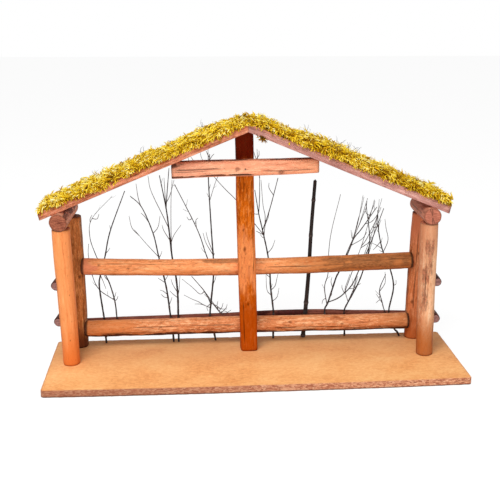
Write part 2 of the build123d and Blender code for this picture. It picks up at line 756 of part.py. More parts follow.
with BuildPart() as twig_6:
    rooted_stem(twig_6_foot, twig_radius, (
        (-1, row, 18, 1.5), (-2, row, 35, 1.4), (2, row, 46, 1.3), (8, row, 58, 1.3), (17, row, 78, 1.2),
        (24, row, 103, 1.1), (28, row, 132, 0.9), (21, row, 181, 0.6),
    ))
    stem(twig_6_foot, (
        (0, row, 9, 1.2), (-24, row, 26, 1.5), (-28, row, 38, 1.5), (-23, back, 48, 1.5),
        (-14, back, 80, 1.4), (-10, back, 89, 1.3), (1, back, 115, 1.2), (8, back, 134, 1.0),
        (17, back, 146, 0.9), (36, back, 175, 0.6),
    ))
    stem(twig_6_foot, (
        (-23, back, 47, 1.0), (-11, back, 52, 1.1), (-2, back, 59, 1.1), (8, back, 71, 1.0),
        (16, back, 90, 1.0), (26, back, 116, 0.9), (35, back, 142, 0.8), (45, back, 173, 0.6),
    ))
    stem(twig_6_foot, (
        (-25, row + 1.5 * twig_grid, 44, 0.9), (-29, row, 69, 0.8), (-25, row, 88, 0.8), (-25, row, 116, 0.7),
        (-22, row, 146, 0.6), (-12, row, 193, 0.5),
    ))
    trim_under_roof()

with BuildPart() as twig_7:
    rooted_stem(twig_7_foot, twig_radius, (
        (-4, row - 4.5 * twig_grid, 5, 1.7), (-8, row - 2.5 * twig_grid, 9, 1.6), (-13, row, 20, 1.5),
        (-16, row, 35, 1.4), (-10, far, 65, 1.3), (-16, far, 91, 1.2), (-27, far, 116, 1.1),
        (-34, far, 145, 0.9), (-36, far, 170, 0.6),
    ))
    stem(twig_7_foot, (
        (-13, row, 19, 1.0), (-22, row, 35, 0.9), (-25, back, 46, 0.9), (-29, back, 63, 0.8),
        (-22, back, 84, 0.6),
    ))
    trim_under_roof()

with BuildPart() as base_nails:
    for head, way in base_nail_places:
        nail(head, way, nail_length)

with BuildPart() as purlin_nails:
    for head, way in left_purlin_nails + right_purlin_nails:
        nail(head, way, nail_length, purlin_nail_sink)

with BuildPart() as roof_nails:
    for head, way in left_roof_nails + right_roof_nails:
        nail(head, way, nail_length)

with BuildPart() as rail_nails:
    for head, way in left_rail_nails + right_rail_nails:
        nail(head, way, nail_length, end_nail_sink)
    nail(*upper_centre_nail, nail_length)
    nail(*lower_centre_nail, nail_length)

with BuildPart() as side_rail_nails:
    for head, way in left_side_nails + right_side_nails:
        nail(head, way, side_nail_length)

with BuildPart() as twig_rail_nail_pair:
    for head, way in twig_rail_nails:
        nail(head, way, short_nail_length)

with BuildPart() as collar_nail:
    nail(*collar_nail_place, nail_length)

pieces = {
    "base_board": base_board,
    "front_left_post": front_left_post,
    "front_right_post": front_right_post,
    "rear_left_post": rear_left_post,
    "rear_right_post": rear_right_post,
    "centre_post": centre_post,
    "upper_rail": upper_rail_part,
    "lower_rail": lower_rail_part,
    "twig_rail": twig_rail,
    "left_upper_side_rail": left_upper_side_rail,
    "left_lower_side_rail": left_lower_side_rail,
    "right_upper_side_rail": right_upper_side_rail,
    "right_lower_side_rail": right_lower_side_rail,
    "left_purlin": left_purlin_part,
    "right_purlin": right_purlin_part,
    "collar_beam": collar_beam,
    "left_roof_board": left_roof_board,
    "right_roof_board": right_roof_board,
    "left_moss": left_moss,
    "right_moss": right_moss,
    "twig_1": twig_1,
    "twig_2": twig_2,
    "twig_3": twig_3,
    "twig_4": twig_4,
    "twig_5": twig_5,
    "twig_6": twig_6,
    "twig_7": twig_7,
    "thick_stick": thick_stick,
    "base_nails": base_nails,
    "purlin_nails": purlin_nails,
    "roof_nails": roof_nails,
    "rail_nails": rail_nails,
    "side_rail_nails": side_rail_nails,
    "twig_rail_nails": twig_rail_nail_pair,
    "collar_nail": collar_nail,
}

for name, piece in pieces.items():
    piece.part.label = name
    export_step(piece.part, f"parts/{name}.step")
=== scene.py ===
import math

import bmesh
import bpy
import numpy as np
from mathutils import Matrix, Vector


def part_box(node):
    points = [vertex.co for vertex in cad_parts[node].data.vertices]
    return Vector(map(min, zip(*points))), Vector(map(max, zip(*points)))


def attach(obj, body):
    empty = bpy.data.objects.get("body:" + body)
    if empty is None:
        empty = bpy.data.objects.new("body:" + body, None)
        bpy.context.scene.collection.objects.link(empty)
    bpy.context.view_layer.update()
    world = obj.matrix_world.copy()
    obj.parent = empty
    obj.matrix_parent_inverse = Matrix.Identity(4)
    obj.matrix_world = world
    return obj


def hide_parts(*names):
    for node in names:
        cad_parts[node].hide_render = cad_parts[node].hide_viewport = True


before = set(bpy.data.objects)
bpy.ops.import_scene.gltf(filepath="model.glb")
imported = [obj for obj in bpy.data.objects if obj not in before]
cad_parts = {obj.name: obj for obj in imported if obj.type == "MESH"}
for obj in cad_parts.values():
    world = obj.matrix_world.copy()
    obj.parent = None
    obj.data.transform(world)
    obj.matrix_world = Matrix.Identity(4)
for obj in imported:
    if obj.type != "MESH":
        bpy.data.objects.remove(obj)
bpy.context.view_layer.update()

# The dressed stable: peeled branches, a chipboard base, a mossy roof and a fence of twigs.
# Lengths are millimetres in the CAD's frame until a piece is made; MM turns them into metres.
MM = 0.001

# Sizes that the CAD solids share
post_radius = 10.6
post_head_swell = 0.4
centre_post_half_width = 10.75
purlin_radius = 10.8
rail_radius = 10.4
upper_rail_sag = 3.8
collar_radius = 9.8
side_rail_radius = 5.6
twig_rail_radius = 3.5
roof_pitch = math.radians(22.5)
roof_thickness = 10.0
twig_radius = 1.8
thick_stick_radius = 2.8
board_bow = 3.0
board_corner = 4.0


def box(node):
    """Lowest and highest corner of a CAD node in millimetres."""
    low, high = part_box(node)
    return np.array(low) / MM, np.array(high) / MM


board_low, board_high = box("base_board")
board_top = board_high[2]

rise_share = math.sin(roof_pitch)
run_share = math.cos(roof_pitch)
roof_slope = math.tan(roof_pitch)
roof_low, roof_high = box("left_roof_board")
ridge_x = roof_high[0]
ridge_z = roof_high[2] - roof_thickness / run_share
roof_front = roof_low[1]
roof_rear = roof_high[1]
left_slope_length = (ridge_x - roof_low[0] - roof_thickness * rise_share) / run_share
right_slope_length = (box("right_roof_board")[1][0] - ridge_x - roof_thickness * rise_share) / run_share


def roof_under(x):
    """Height of the roof boards' underside at x."""
    return ridge_z - abs(x - ridge_x) * roof_slope


# The photograph's viewpoint, fitted to the base, posts and roof
camera_place = np.array((-78.1, -950.9, 436.5))
focal_pixels = 831.9
picture_pixels = 500
yaw = math.radians(4.29)
pitch = math.radians(16.69)
roll = math.radians(0.13)
view_forward = np.array((math.sin(yaw) * math.cos(pitch), math.cos(yaw) * math.cos(pitch), -math.sin(pitch)))
view_level = np.array((math.cos(yaw), -math.sin(yaw), 0))
view_raised = np.cross(view_level, view_forward)
view_right = math.cos(roll) * view_level + math.sin(roll) * view_raised
view_up = math.cos(roll) * view_raised - math.sin(roll) * view_level


def in_photo(across, down, depth):
    """Point at a pixel of the photograph, on the upright plane at a depth from front to back."""
    middle = picture_pixels / 2
    ray = view_forward * focal_pixels + view_right * (across - middle) - view_up * (down - middle)
    return camera_place + ray * (depth - camera_place[1]) / ray[1]


# Noise, the same on every run
cell_factors = 374761393, 668265263, 1440662683
seed_factor = 974634777
mix_factor = 1274126177
low_32_bits = 0xFFFFFFFF
low_16_bits = 0xFFFF


def lattice(cell, seed):
    """Repeatable values from 0 to 1 at whole-number points."""
    mixed = sum(cell[..., k] * factor for k, factor in enumerate(cell_factors)) + seed * seed_factor
    mixed = mixed & low_32_bits
    mixed = ((mixed ^ (mixed >> 13)) * mix_factor) & low_32_bits
    return ((mixed ^ (mixed >> 16)) & low_16_bits) / low_16_bits


def noise(points, size, seed):
    """Smooth noise from -1 to 1 with features of about the given size, which may differ by axis."""
    spots = np.asarray(points, float) / size
    cell = np.floor(spots).astype(np.int64)
    part = spots - cell
    part = part * part * (3 - 2 * part)
    total = 0.0
    for corner in np.ndindex(2, 2, 2):
        weight = np.prod(np.where(corner, part, 1 - part), axis=-1)
        total = total + weight * lattice(cell + np.array(corner), seed)
    return total * 2 - 1


def rough(points, size, seed, octaves=3):
    """Noise with finer and weaker noise added."""
    size = np.asarray(size, float)
    return sum(noise(points, size / 2 ** n, seed + n) * 0.5 ** n for n in range(octaves))


# Pieces

class Parts:
    """Points, faces and per-point fields collected for one piece."""

    def __init__(self):
        self.points, self.quads, self.tris = [], [], []
        self.fields = {}
        self.count = 0

    def add(self, points, quads=None, tris=None, **fields):
        """Adds points with fields, and faces that count from the first of these points."""
        points = np.asarray(points, float)
        for faces, kept in ((quads, self.quads), (tris, self.tris)):
            if faces is not None and len(faces):
                kept.append(np.asarray(faces, np.int64) + self.count)
        for name, values in fields.items():
            self.fields.setdefault(name, []).append(np.asarray(values, np.float32))
        self.points.append(points)
        self.count += len(points)

    def mesh(self, name):
        """A smooth mesh in metres, with the fields as attributes of its points."""
        mesh = bpy.data.meshes.new(name)
        points = np.concatenate(self.points)
        by_corners = (self.quads, 4), (self.tris, 3)
        kinds = [(np.concatenate(faces), corners) for faces, corners in by_corners if faces]
        loops = np.concatenate([faces.ravel() for faces, _ in kinds]).astype(np.int32)
        sizes = np.concatenate([np.full(len(faces), corners) for faces, corners in kinds])
        mesh.vertices.add(len(points))
        mesh.vertices.foreach_set("co", (points * MM).astype(np.float32).ravel())
        mesh.loops.add(len(loops))
        mesh.loops.foreach_set("vertex_index", loops)
        mesh.polygons.add(len(sizes))
        mesh.polygons.foreach_set("loop_start", (np.cumsum(sizes) - sizes).astype(np.int32))
        mesh.polygons.foreach_set("use_smooth", np.ones(len(sizes), bool))
        mesh.update(calc_edges=True)
        for field, values in self.fields.items():
            values = np.concatenate(values)
            kind, key = ("FLOAT", "value") if values.ndim == 1 else ("FLOAT_VECTOR", "vector")
            mesh.attributes.new(field, kind, "POINT").data.foreach_set(key, values.ravel())
        return mesh

    def piece(self, name, material, replaces=(), slot=None):
        """The Blender object, riding on the stable's one body."""
        mesh = self.mesh(name)
        mesh.materials.append(material)
        made = in_scene(name, mesh)
        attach(made, "root")
        if replaces:
            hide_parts(*replaces)
        return made


def in_scene(name, data):
    """A new object in the scene."""
    made = bpy.data.objects.new(name, data)
    bpy.context.scene.collection.objects.link(made)
    return made


# Paths and outlines
upright_rise = 0.7


def lengths_along(points):
    """Length of a path up to each of its points."""
    return np.concatenate([[0], np.cumsum(np.linalg.norm(np.diff(points, axis=0), axis=1))])


def smooth_path(path, step):
    """Points about a step apart on a smooth curve through the path's points."""
    path = np.asarray(path, float)
    ends = np.vstack([2 * path[0] - path[1], path, 2 * path[-1] - path[-2]])
    found = []
    for a, b, c, d in zip(ends, ends[1:], ends[2:], ends[3:]):
        count = max(2, int(np.ceil(np.linalg.norm(c - b) / step)))
        t = np.linspace(0, 1, count, endpoint=False)[:, None]
        found.append(b + 0.5 * t * (c - a + t * (2 * a - 5 * b + 4 * c - d + t * (3 * (b - c) + d - a))))
    return np.vstack(found + [path[-1:]])


def frames(centres):
    """Two side directions of a path and the way along it; on level logs the second side is up."""
    along = np.gradient(centres, axis=0)
    along /= np.linalg.norm(along, axis=1)[:, None]
    upright = abs(along[:, 2].mean()) > upright_rise
    side = np.cross((0, 1, 0) if upright else (0, 0, 1), along)
    side /= np.linalg.norm(side, axis=1)[:, None]
    return side, np.cross(along, side), along


def around_path(centres, side, up, flat):
    """Points at side offsets from a path."""
    return centres[:, None] + flat[..., :1] * side[:, None] + flat[..., 1:] * up[:, None]


def round_outline(radius, around=72):
    """A circle as a closed ring of side offsets."""
    turn = np.linspace(0, 2 * math.pi, around, endpoint=False)
    return radius * np.column_stack([np.cos(turn), np.sin(turn)])


def squared_outline(half_u, half_v, power, around=88):
    """A branch hewn to a rounded square."""
    turn = np.linspace(0, 2 * math.pi, around, endpoint=False)
    reach = (abs(np.cos(turn)) ** power + abs(np.sin(turn)) ** power) ** (-1 / power)
    return np.column_stack([half_u * reach * np.cos(turn), half_v * reach * np.sin(turn)])


def plank_outline(half_wide, half_thick, ease=0.7, spacing=1.6):
    """A plank's section as a closed ring, with eased corners."""
    corners = np.array(((half_wide, -half_thick), (half_wide, half_thick),
                        (-half_wide, half_thick), (-half_wide, -half_thick)))
    ring = []
    for here, there in zip(corners, np.roll(corners, -1, axis=0)):
        length = np.linalg.norm(there - here)
        way = (there - here) / length
        count = max(6, int(length / spacing))
        ring.extend(here + way * t for t in np.linspace(ease, length - ease, count))
    return np.array(ring)


def ring_faces(rings, around):
    """Quads between neighbouring rings of points."""
    ring, spot = np.meshgrid(np.arange(rings - 1), np.arange(around), indexing="ij")
    after = (spot + 1) % around
    return np.stack([ring * around + spot, ring * around + after,
                     (ring + 1) * around + after, (ring + 1) * around + spot], axis=-1).reshape(-1, 4)


def cap_faces(rim, first, rings, facing):
    """Quads from a rim over rings of points, and triangles to a middle point. The points are numbered
    on from first; facing is -1 where the faces turn the other way."""
    around = len(rim)
    quads = []
    for k in range(rings):
        here = first + k * around + np.arange(around)
        quads.append(np.column_stack([rim, np.roll(rim, -1), np.roll(here, -1), here]))
        rim = here
    fan = np.column_stack([rim, np.roll(rim, -1), np.full(around, first + rings * around)])
    return np.concatenate(quads)[:, ::facing], fan[:, ::facing]


# Logs

class Log:
    """A branch's skin: rings of points along a path, with dents and the fields that its wood shows.
    Angles are degrees from the first side. Sizes of noise are two across the log and one along it."""

    lump_radii, lump_length = 0.9, 48
    ripple_height, ripple_size = 0.10, (1.5, 1.5, 18)
    knot_shortness, knot_unevenness, knot_darkness = 0.7, 0.35, 1.2
    knot_swell, knot_hollow, hollow_narrowness = 0.14, 0.16, 2.4
    crack_depth, crack_fade, crack_sway, sway_length = 0.9, 8, 0.06, 25
    bark_thickness, bark_fade, bark_size = 0.35, 10, (5, 5, 16)
    dull_size = 6, 6, 30
    # Strength and length of the painted shade where the skin meets a sawn end
    end_dirt, end_dirt_length = 0.55, 1.3
    drift_length, drift_ease = 70, 30
    end_shares = 0.985, 0.93, 0.8, 0.6, 0.4, 0.2
    end_level_share, end_bulge = 0.95, 0.25
    saw_depth, saw_size = 0.16, (7, 1.4, 50)

    def __init__(self, path, outline, seed, step):
        self.outline, self.seed = outline, seed
        self.centres = smooth_path(path, step)
        self.side, self.up, self.along = frames(self.centres)
        self.travel = lengths_along(self.centres)
        self.length = self.travel[-1]
        self.from_end = np.minimum(self.travel, self.length - self.travel)
        reach = np.linalg.norm(outline, axis=1)
        self.radius = reach.mean()
        self.outward = outline / reach[:, None]
        angle = np.arctan2(outline[:, 1], outline[:, 0])
        self.run, self.angle = np.meshgrid(self.travel, angle, indexing="ij")
        zero = 0 * self.run
        self.spots = np.stack([outline[None, :, 0] + zero, outline[None, :, 1] + zero, self.run], axis=-1)
        self.dent, self.knot, self.crack, self.bark, self.dull = (zero.copy() for _ in range(5))

    def off(self, degrees):
        """Angle of each point from a direction."""
        return (self.angle - math.radians(degrees) + math.pi) % (2 * math.pi) - math.pi

    def inside(self, first, last, soft):
        """How far each point is inside two places along the log, in soft lengths."""
        return np.minimum(self.run - first, last - self.run) / soft

    def shape(self, lumps, taper, worn):
        """Lumps, fine ripples along the grain, taper and worn ends."""
        lump_size = self.radius * self.lump_radii
        self.dent += lumps * rough(self.spots, (lump_size, lump_size, self.lump_length), self.seed)
        self.dent += self.ripple_height * rough(self.spots, self.ripple_size, self.seed + 20, 2)
        self.dent += taper * (0.5 - self.run / self.length)
        self.dent -= worn * np.clip(1 - self.from_end[:, None] / worn, 0, 1) ** 2

    def add_knot(self, spot, degrees, size):
        """A low knot with a hollow middle."""
        away = np.hypot((self.run - spot) * self.knot_shortness, self.off(degrees) * self.radius) / size
        away = away * (1 + self.knot_unevenness * noise(self.spots, size * 0.8, self.seed + 30))
        hollow = self.knot_hollow * size * np.exp(-(away * self.hollow_narrowness) ** 2)
        self.dent += self.knot_swell * size * np.exp(-away ** 2) - hollow
        self.knot = np.maximum(self.knot, np.exp(-(away * self.knot_darkness) ** 2))

    def add_crack(self, first, last, degrees, width):
        """A drying crack that sways a little."""
        line = np.stack([self.run, 0 * self.run, 0 * self.run + degrees], axis=-1)
        sway = self.crack_sway * noise(line, self.sway_length, self.seed + 40)
        across = np.exp(-((self.off(degrees) + sway) * self.radius / width) ** 2)
        gape = np.clip(self.inside(first, last, self.crack_fade), 0, 1)
        self.dent -= self.crack_depth * width * across * gape
        self.crack = np.maximum(self.crack, across * gape)

    def add_bark(self, first, last, degrees, half, left):
        """A patch of bark with a soft, uneven edge; left is 1 for a whole patch and less for flecks."""
        cover = np.clip(self.inside(first, last, self.bark_fade) + 0.5, 0, 1)
        across = np.clip(1.6 - abs(self.off(degrees)) / math.radians(half), 0, 1)
        patch = cover * across * (0.75 + 0.6 * rough(self.spots, self.bark_size, self.seed + 60))
        self.bark = np.maximum(self.bark, left * np.clip(patch, 0, 1))

    def add_dull(self, degrees, half):
        """Painted shade over one flank, with a soft, uneven edge."""
        across = np.clip(1.5 - abs(self.off(degrees)) / math.radians(half), 0, 1)
        self.dull = across * (0.8 + 0.5 * noise(self.spots, self.dull_size, self.seed + 70))

    def dark_ends(self):
        """Painted shade in a narrow band where the skin meets a sawn end, as where a rail meets a post."""
        dirt = self.end_dirt * np.exp(-self.from_end[:, None] / self.end_dirt_length)
        self.crack = np.maximum(self.crack, dirt)

    def place(self, wander):
        """Sets the points, which wander off the path between the ends, and their places in the grain, which
        starts elsewhere in each log."""
        line = np.column_stack([self.travel, 0 * self.travel, 0 * self.travel])
        drift = wander * np.column_stack([noise(line, self.drift_length, self.seed + 80 + k) for k in (0, 1)])
        self.drift = drift * np.clip(self.from_end / self.drift_ease, 0, 1)[:, None]
        flat = self.outline[None] + self.drift[:, None] + self.outward[None] * self.dent[..., None]
        self.points = around_path(self.centres, self.side, self.up, flat)
        steps, spans = np.array((41.0, 23.0, 67.0)), np.array((700, 500, 900))
        self.origin = self.seed * steps % spans
        self.grain = np.concatenate([flat, self.run[..., None]], axis=-1) + self.origin

    def sawn_end(self, row, facing, splits):
        """Points, grain, shares of the radius and splits of one end's rings and middle point."""
        middle = self.centres[row] + self.drift[row, 0] * self.side[row] + self.drift[row, 1] * self.up[row]
        out = self.along[row] * facing
        around = len(self.outline)
        found = []
        for share in self.end_shares:
            grain = self.grain[row] * [share, share, 1] + self.origin * [1 - share, 1 - share, 0]
            saw = self.saw_depth * rough(grain, self.saw_size, self.seed + 90 + row, 2)
            ring = middle + (self.points[row] - middle) * share
            ring = ring + out * (saw[:, None] + self.end_bulge * (share < self.end_level_share))
            split = np.zeros(around)
            for degrees, width in splits:
                turn = math.radians(degrees)
                away = self.outline @ (math.sin(turn), -math.cos(turn)) * share
                split = np.maximum(split, np.exp(-(away / width) ** 2))
            found.append((ring, grain, np.full(around, share), split))
        centre_grain = self.origin + [0, 0, self.travel[row]]
        found.append(((middle + out * self.end_bulge)[None], centre_grain[None], [0.0], [0.0]))
        return [np.concatenate(column) for column in zip(*found)]

    def piece(self, name, material, slot, splits, trim):
        """Joins the skin and both ends; splits cross the first end only."""
        rings, around = self.run.shape
        skin = rings * around
        first = self.sawn_end(0, -1, splits)
        last = self.sawn_end(rings - 1, 1, ())
        body = self.points.reshape(-1, 3), self.grain.reshape(-1, 3), np.zeros(skin), self.crack.ravel()
        points, grain, rim, crack = (np.concatenate(column) for column in zip(body, first, last))
        rim_row = np.arange(around)
        end_rings = len(self.end_shares)
        first_faces = cap_faces(rim_row, skin, end_rings, -1)
        last_faces = cap_faces(rim_row + skin - around, skin + len(first[0]), end_rings, 1)

        def on_skin(field):
            return np.append(field.ravel(), np.zeros(len(points) - skin))

        parts = Parts()
        parts.add(trim(points) if trim else points,
                  np.concatenate([ring_faces(rings, around), first_faces[0], last_faces[0]]),
                  np.concatenate([first_faces[1], last_faces[1]]),
                  grain=grain, rim=rim, crack=crack, end=np.arange(len(points)) >= skin,
                  knot=on_skin(self.knot), bark=on_skin(self.bark), dull=on_skin(self.dull),
                  along=on_skin(self.run / self.length))
        parts.piece(name + "_wood", material, (name,), slot)


def log(name, path, outline, material, seed, *, step=2.0, lumps=0.35, wander=0.4, taper=0.0, worn=0.8,
        knots=(), cracks=(), bark=(), bark_left=1.0, dull=None, splits=(), trim=None, slot="peeled_branch"):
    """A branch along a path. Knots are (along, angle, size), cracks (from, to, angle, width), bark patches
    (from, to, angle, half width in degrees), dull the (angle, half width) of a flank in painted shade
    and splits (angle, width)."""
    made = Log(path, outline, seed, step)
    made.shape(lumps, taper, worn)
    for knot in knots:
        made.add_knot(*knot)
    for crack in cracks:
        made.add_crack(*crack)
    for patch in bark:
        made.add_bark(*patch, bark_left)
    made.dent += made.bark_thickness * np.clip(made.bark * 2 - 0.7, 0, 1)
    if dull:
        made.add_dull(*dull)
    made.dark_ends()
    made.place(wander)
    made.piece(name, material, slot, splits, trim)


# Materials

def linear(colour):
    """What the renderer takes for a colour's screen values, which go from 0 to 255."""
    shares = [value / 255 for value in colour]
    return *[v / 12.92 if v <= 0.04045 else ((v + 0.055) / 1.055) ** 2.4 for v in shares], 1.0


def toned(colour, factor, lift=0):
    """Screen values made darker or lighter."""
    return [min(255, value * factor + lift) for value in colour]


class Shader:
    """A material with one Principled surface and short calls for its nodes. A colour is a node's output or
    screen values."""

    def __init__(self, name, roughness, specular):
        self.material = bpy.data.materials.new(name)
        self.material.use_nodes = True
        self.tree = self.material.node_tree
        self.surface = self.tree.nodes["Principled BSDF"]
        self.surface.inputs["Roughness"].default_value = roughness
        self.surface.inputs["Specular IOR Level"].default_value = specular

    def put(self, socket, value):
        """Links a node's output to a socket, or sets the socket to a plain value."""
        if isinstance(value, bpy.types.NodeSocket):
            self.tree.links.new(value, socket)
        else:
            socket.default_value = value

    def node(self, kind, sockets, **settings):
        """A node with its settings and sockets filled in."""
        made = self.tree.nodes.new("ShaderNode" + kind)
        for key, value in settings.items():
            setattr(made, key, value)
        for key, value in sockets.items():
            self.put(made.inputs[key], value)
        return made

    def field(self, name, output="Fac"):
        """A per-point field of the piece."""
        return self.node("Attribute", {}, attribute_name=name).outputs[output]

    def noise(self, vector, scale, detail=4.0, roughness=0.55, distortion=0.0):
        """Noise with its scale given for each axis."""
        vector = self.node("Mapping", {"Vector": vector, "Scale": scale}).outputs["Vector"]
        look = {"Scale": 1.0, "Detail": detail, "Roughness": roughness, "Distortion": distortion}
        return self.node("TexNoise", {"Vector": vector, **look}).outputs["Fac"]

    def chips(self, vector, scale, channel):
        """A random value for each cell, its scale given for each axis."""
        vector = self.node("Mapping", {"Vector": vector, "Scale": scale}).outputs["Vector"]
        cells = self.node("TexVoronoi", {"Vector": vector, "Scale": 1.0}).outputs["Color"]
        return self.node("SeparateColor", {"Color": cells}).outputs[channel]

    def math(self, operation, first, second=0.0):
        """One calculation with two values."""
        return self.node("Math", {0: first, 1: second}, operation=operation).outputs[0]

    def times(self, value, factor):
        """A value times a factor."""
        return self.math("MULTIPLY", value, factor)

    def raised(self, base, value, factor):
        """A base plus a value times a factor."""
        return self.math("ADD", base, self.times(value, factor))

    def total(self, *weighted):
        """Sum of values, each with its weight."""
        found = self.times(*weighted[0])
        for value, weight in weighted[1:]:
            found = self.raised(found, value, weight)
        return found

    def between(self, value, low, high):
        """0 below low, 1 above high, smooth between."""
        return self.node("MapRange", {"Value": value, "From Min": low, "From Max": high},
                         interpolation_type="SMOOTHSTEP").outputs["Result"]

    def ramp(self, factor, *stops):
        """Colours along a factor; each stop is a place and screen values."""
        made = self.node("ValToRGB", {"Fac": factor})
        band = made.color_ramp.elements
        while len(band) < len(stops):
            band.new(0.5)
        for element, (place, colour) in zip(band, stops):
            element.position = place
            element.color = linear(colour)
        return made.outputs["Color"]

    def mix(self, factor, first, second):
        """Two colours mixed."""
        first, second = (c if isinstance(c, bpy.types.NodeSocket) else linear(c) for c in (first, second))
        return self.node("Mix", {0: factor, 6: first, 7: second}, data_type="RGBA").outputs[2]

    def cover(self, colour, mask, strength, paint):
        """A colour with paint over it where the mask is 1."""
        return self.mix(self.times(mask, strength), colour, paint)

    def finish(self, colour, roughness=None, height=None, depth=0.3):
        """Colour, roughness and a bump whose full height is depth millimetres."""
        self.put(self.surface.inputs["Base Color"], colour)
        if roughness is not None:
            self.put(self.surface.inputs["Roughness"], roughness)
        if height is not None:
            bump = self.node("Bump", {"Height": height, "Distance": depth * MM})
            self.put(self.surface.inputs["Normal"], bump.outputs["Normal"])
        return self.material


class BranchWood(Shader):
    """Stained peeled branch, painted in coats over long streaks. Colours are screen values."""

    def __init__(self, name, light, mid, dark, sheen):
        super().__init__(name, 0.6, sheen)
        self.light, self.dark = light, dark
        self.grain = self.field("grain", "Vector")
        self.along = self.field("along")
        self.streaks = self.grained(0.30, 0.016, 6.0, 0.6, 0.4)
        self.broad = self.grained(0.09, 0.022, 4.0)
        self.fibre = self.grained(1.9, 0.10, 4.0, 0.7)
        self.flake = self.between(self.grained(0.34, 0.040, 7.0, 0.75, 0.3), 0.56, 0.61)
        self.knifed = self.grained(0.40, 0.13, 5.0, 0.7, 0.5)
        peel = self.grained(0.5, 0.12, 5.0, 0.7)
        self.bark_mask = self.between(self.raised(self.field("bark"), peel, 0.9), 0.72, 1.12)
        self.bark_tone = self.grained(0.62, 0.26, 5.0, 0.7)
        tone = self.total((self.streaks, 0.45), (self.broad, 0.33), (self.fibre, 0.22))
        self.colour = self.ramp(tone, (0.38, dark), (0.47, mid), (0.53, mid), (0.63, light))

    def grained(self, across, along, detail, roughness=0.55, distortion=0.0):
        """Noise drawn out along the grain, with its scale across and along it."""
        return self.noise(self.grain, (across, across, along), detail, roughness, distortion)

    def coat(self, mask, strength, paint):
        """Paints over the colour where the mask is 1."""
        self.colour = self.cover(self.colour, mask, strength, paint)

    def swaying(self, sway):
        """Share of the length, with lines across it that sway with the broad streaks."""
        return self.raised(self.along, self.math("SUBTRACT", self.broad, 0.5), sway)

    def stain(self, stains):
        """Dark stains, and the painted shade on one flank."""
        blotches = self.grained(0.17, 0.030, 6.0, 0.7, 0.8)
        fewer = 0.16 * stains
        self.coat(self.between(blotches, 0.58 - fewer, 0.84 - fewer), stains, toned(self.dark, 0.85))
        # Painted shade over the flank that the log marks
        self.coat(self.field("dull"), 0.8, self.dark)

    def band(self, paint, start, stop, strength):
        """A colour between two shares of the length."""
        place, soft = self.swaying(0.3), 0.04
        inside = self.times(self.between(place, start - soft, start + soft),
                            self.between(place, stop + soft, stop - soft))
        self.coat(inside, strength, paint)

    def peeled(self, flakes, mottle):
        """Pale flakes, and the light and dark marks of the peeling knife."""
        self.coat(self.flake, flakes, toned(self.light, 1.04, 8))
        self.coat(self.between(self.knifed, 0.53, 0.62), 0.75 * mottle, toned(self.light, 1.05, 10))
        self.coat(self.between(self.knifed, 0.46, 0.36), 0.85 * mottle, toned(self.dark, 0.72))

    def shade(self, paint, start, stop, strength):
        """A colour that comes in between two shares of the length."""
        self.coat(self.between(self.swaying(0.12), start, stop), strength, paint)

    def shade_joints(self, joint):
        """Painted shade over a share of the length at each end, where it meets a post."""
        from_end = self.math("MINIMUM", self.along, self.math("SUBTRACT", 1.0, self.along))
        self.coat(self.between(from_end, joint, joint * 0.45), 0.85, toned(self.dark, 0.3))

    def specks(self, strength):
        """Small dark specks."""
        spots = self.grained(0.75, 0.28, 2.0)
        self.coat(self.between(spots, 0.64, 0.72), 0.6 * strength, toned(self.dark, 0.6))

    def knots(self):
        """Dark ringed knots."""
        knot = self.field("knot")
        rings = self.math("SINE", self.times(knot, 22.0))
        ringed = self.mix(self.between(rings, -0.6, 0.8), toned(self.dark, 0.42), toned(self.dark, 0.8))
        self.coat(self.between(knot, 0.12, 0.85), 0.7, ringed)

    def barked(self, bark, strength):
        """Bark that is left on."""
        tones = self.ramp(self.bark_tone, (0.38, toned(bark, 0.4)), (0.5, bark), (0.68, toned(bark, 1.3)))
        self.coat(self.bark_mask, strength, tones)

    def sawn(self, light, dark):
        """Sawn ends with year rings and a dark rim, and cracks together with the painted shade by the ends.
        """
        marks = self.noise(self.grain, (0.16, 0.9, 0.1), 5.0, 0.65, 0.6)
        rim = self.field("rim")
        rings = self.math("SINE", self.total((rim, 34.0), (marks, 6.0)))
        colour = self.ramp(marks, (0.35, dark), (0.62, light))
        colour = self.cover(colour, self.between(rings, 0.2, 1.0), 0.3, dark)
        colour = self.cover(colour, self.between(rim, 0.9, 0.97), 0.55, toned(dark, 0.5))
        self.colour = self.mix(self.field("end"), self.colour, colour)
        # This field holds the real cracks and the painted shade by the ends.
        self.coat(self.field("crack"), 0.9, toned(self.dark, 0.28))

    def relief(self, flakes, mottle):
        """The finished material, with a bump of grain, flakes, knife marks and bark."""
        height = self.total((self.streaks, 0.6), (self.fibre, 0.6), (self.flake, 0.35 * flakes),
                            (self.knifed, 0.9 * mottle), (self.times(self.bark_tone, self.bark_mask), 1.4))
        return self.finish(self.colour, self.raised(0.45, self.fibre, 0.3), height, 0.6)


def branch_wood(name, light, mid, dark, end_light, end_dark, bark=(105, 78, 66), bark_cover=0.6, specks=0.6,
                flakes=0.3, stains=0.4, mottle=0.3, joint=0.0, sheen=0.12, foot=None, head=None, band=None):
    """Stained peeled branch. Foot and head are a colour, the shares of the length between which it comes in
    and its strength, band a colour, the shares where it starts and stops and its strength."""
    wood = BranchWood(name, light, mid, dark, sheen)
    wood.stain(stains)
    if band:
        wood.band(*band)
    wood.peeled(flakes, mottle)
    for shade in (foot, head):
        if shade:
            wood.shade(*shade)
    # Painted shade at the ends, where the piece meets a post.
    if joint:
        wood.shade_joints(joint)
    wood.specks(specks)
    wood.knots()
    wood.barked(bark, bark_cover)
    wood.sawn(end_light, end_dark)
    return wood.relief(flakes, mottle)


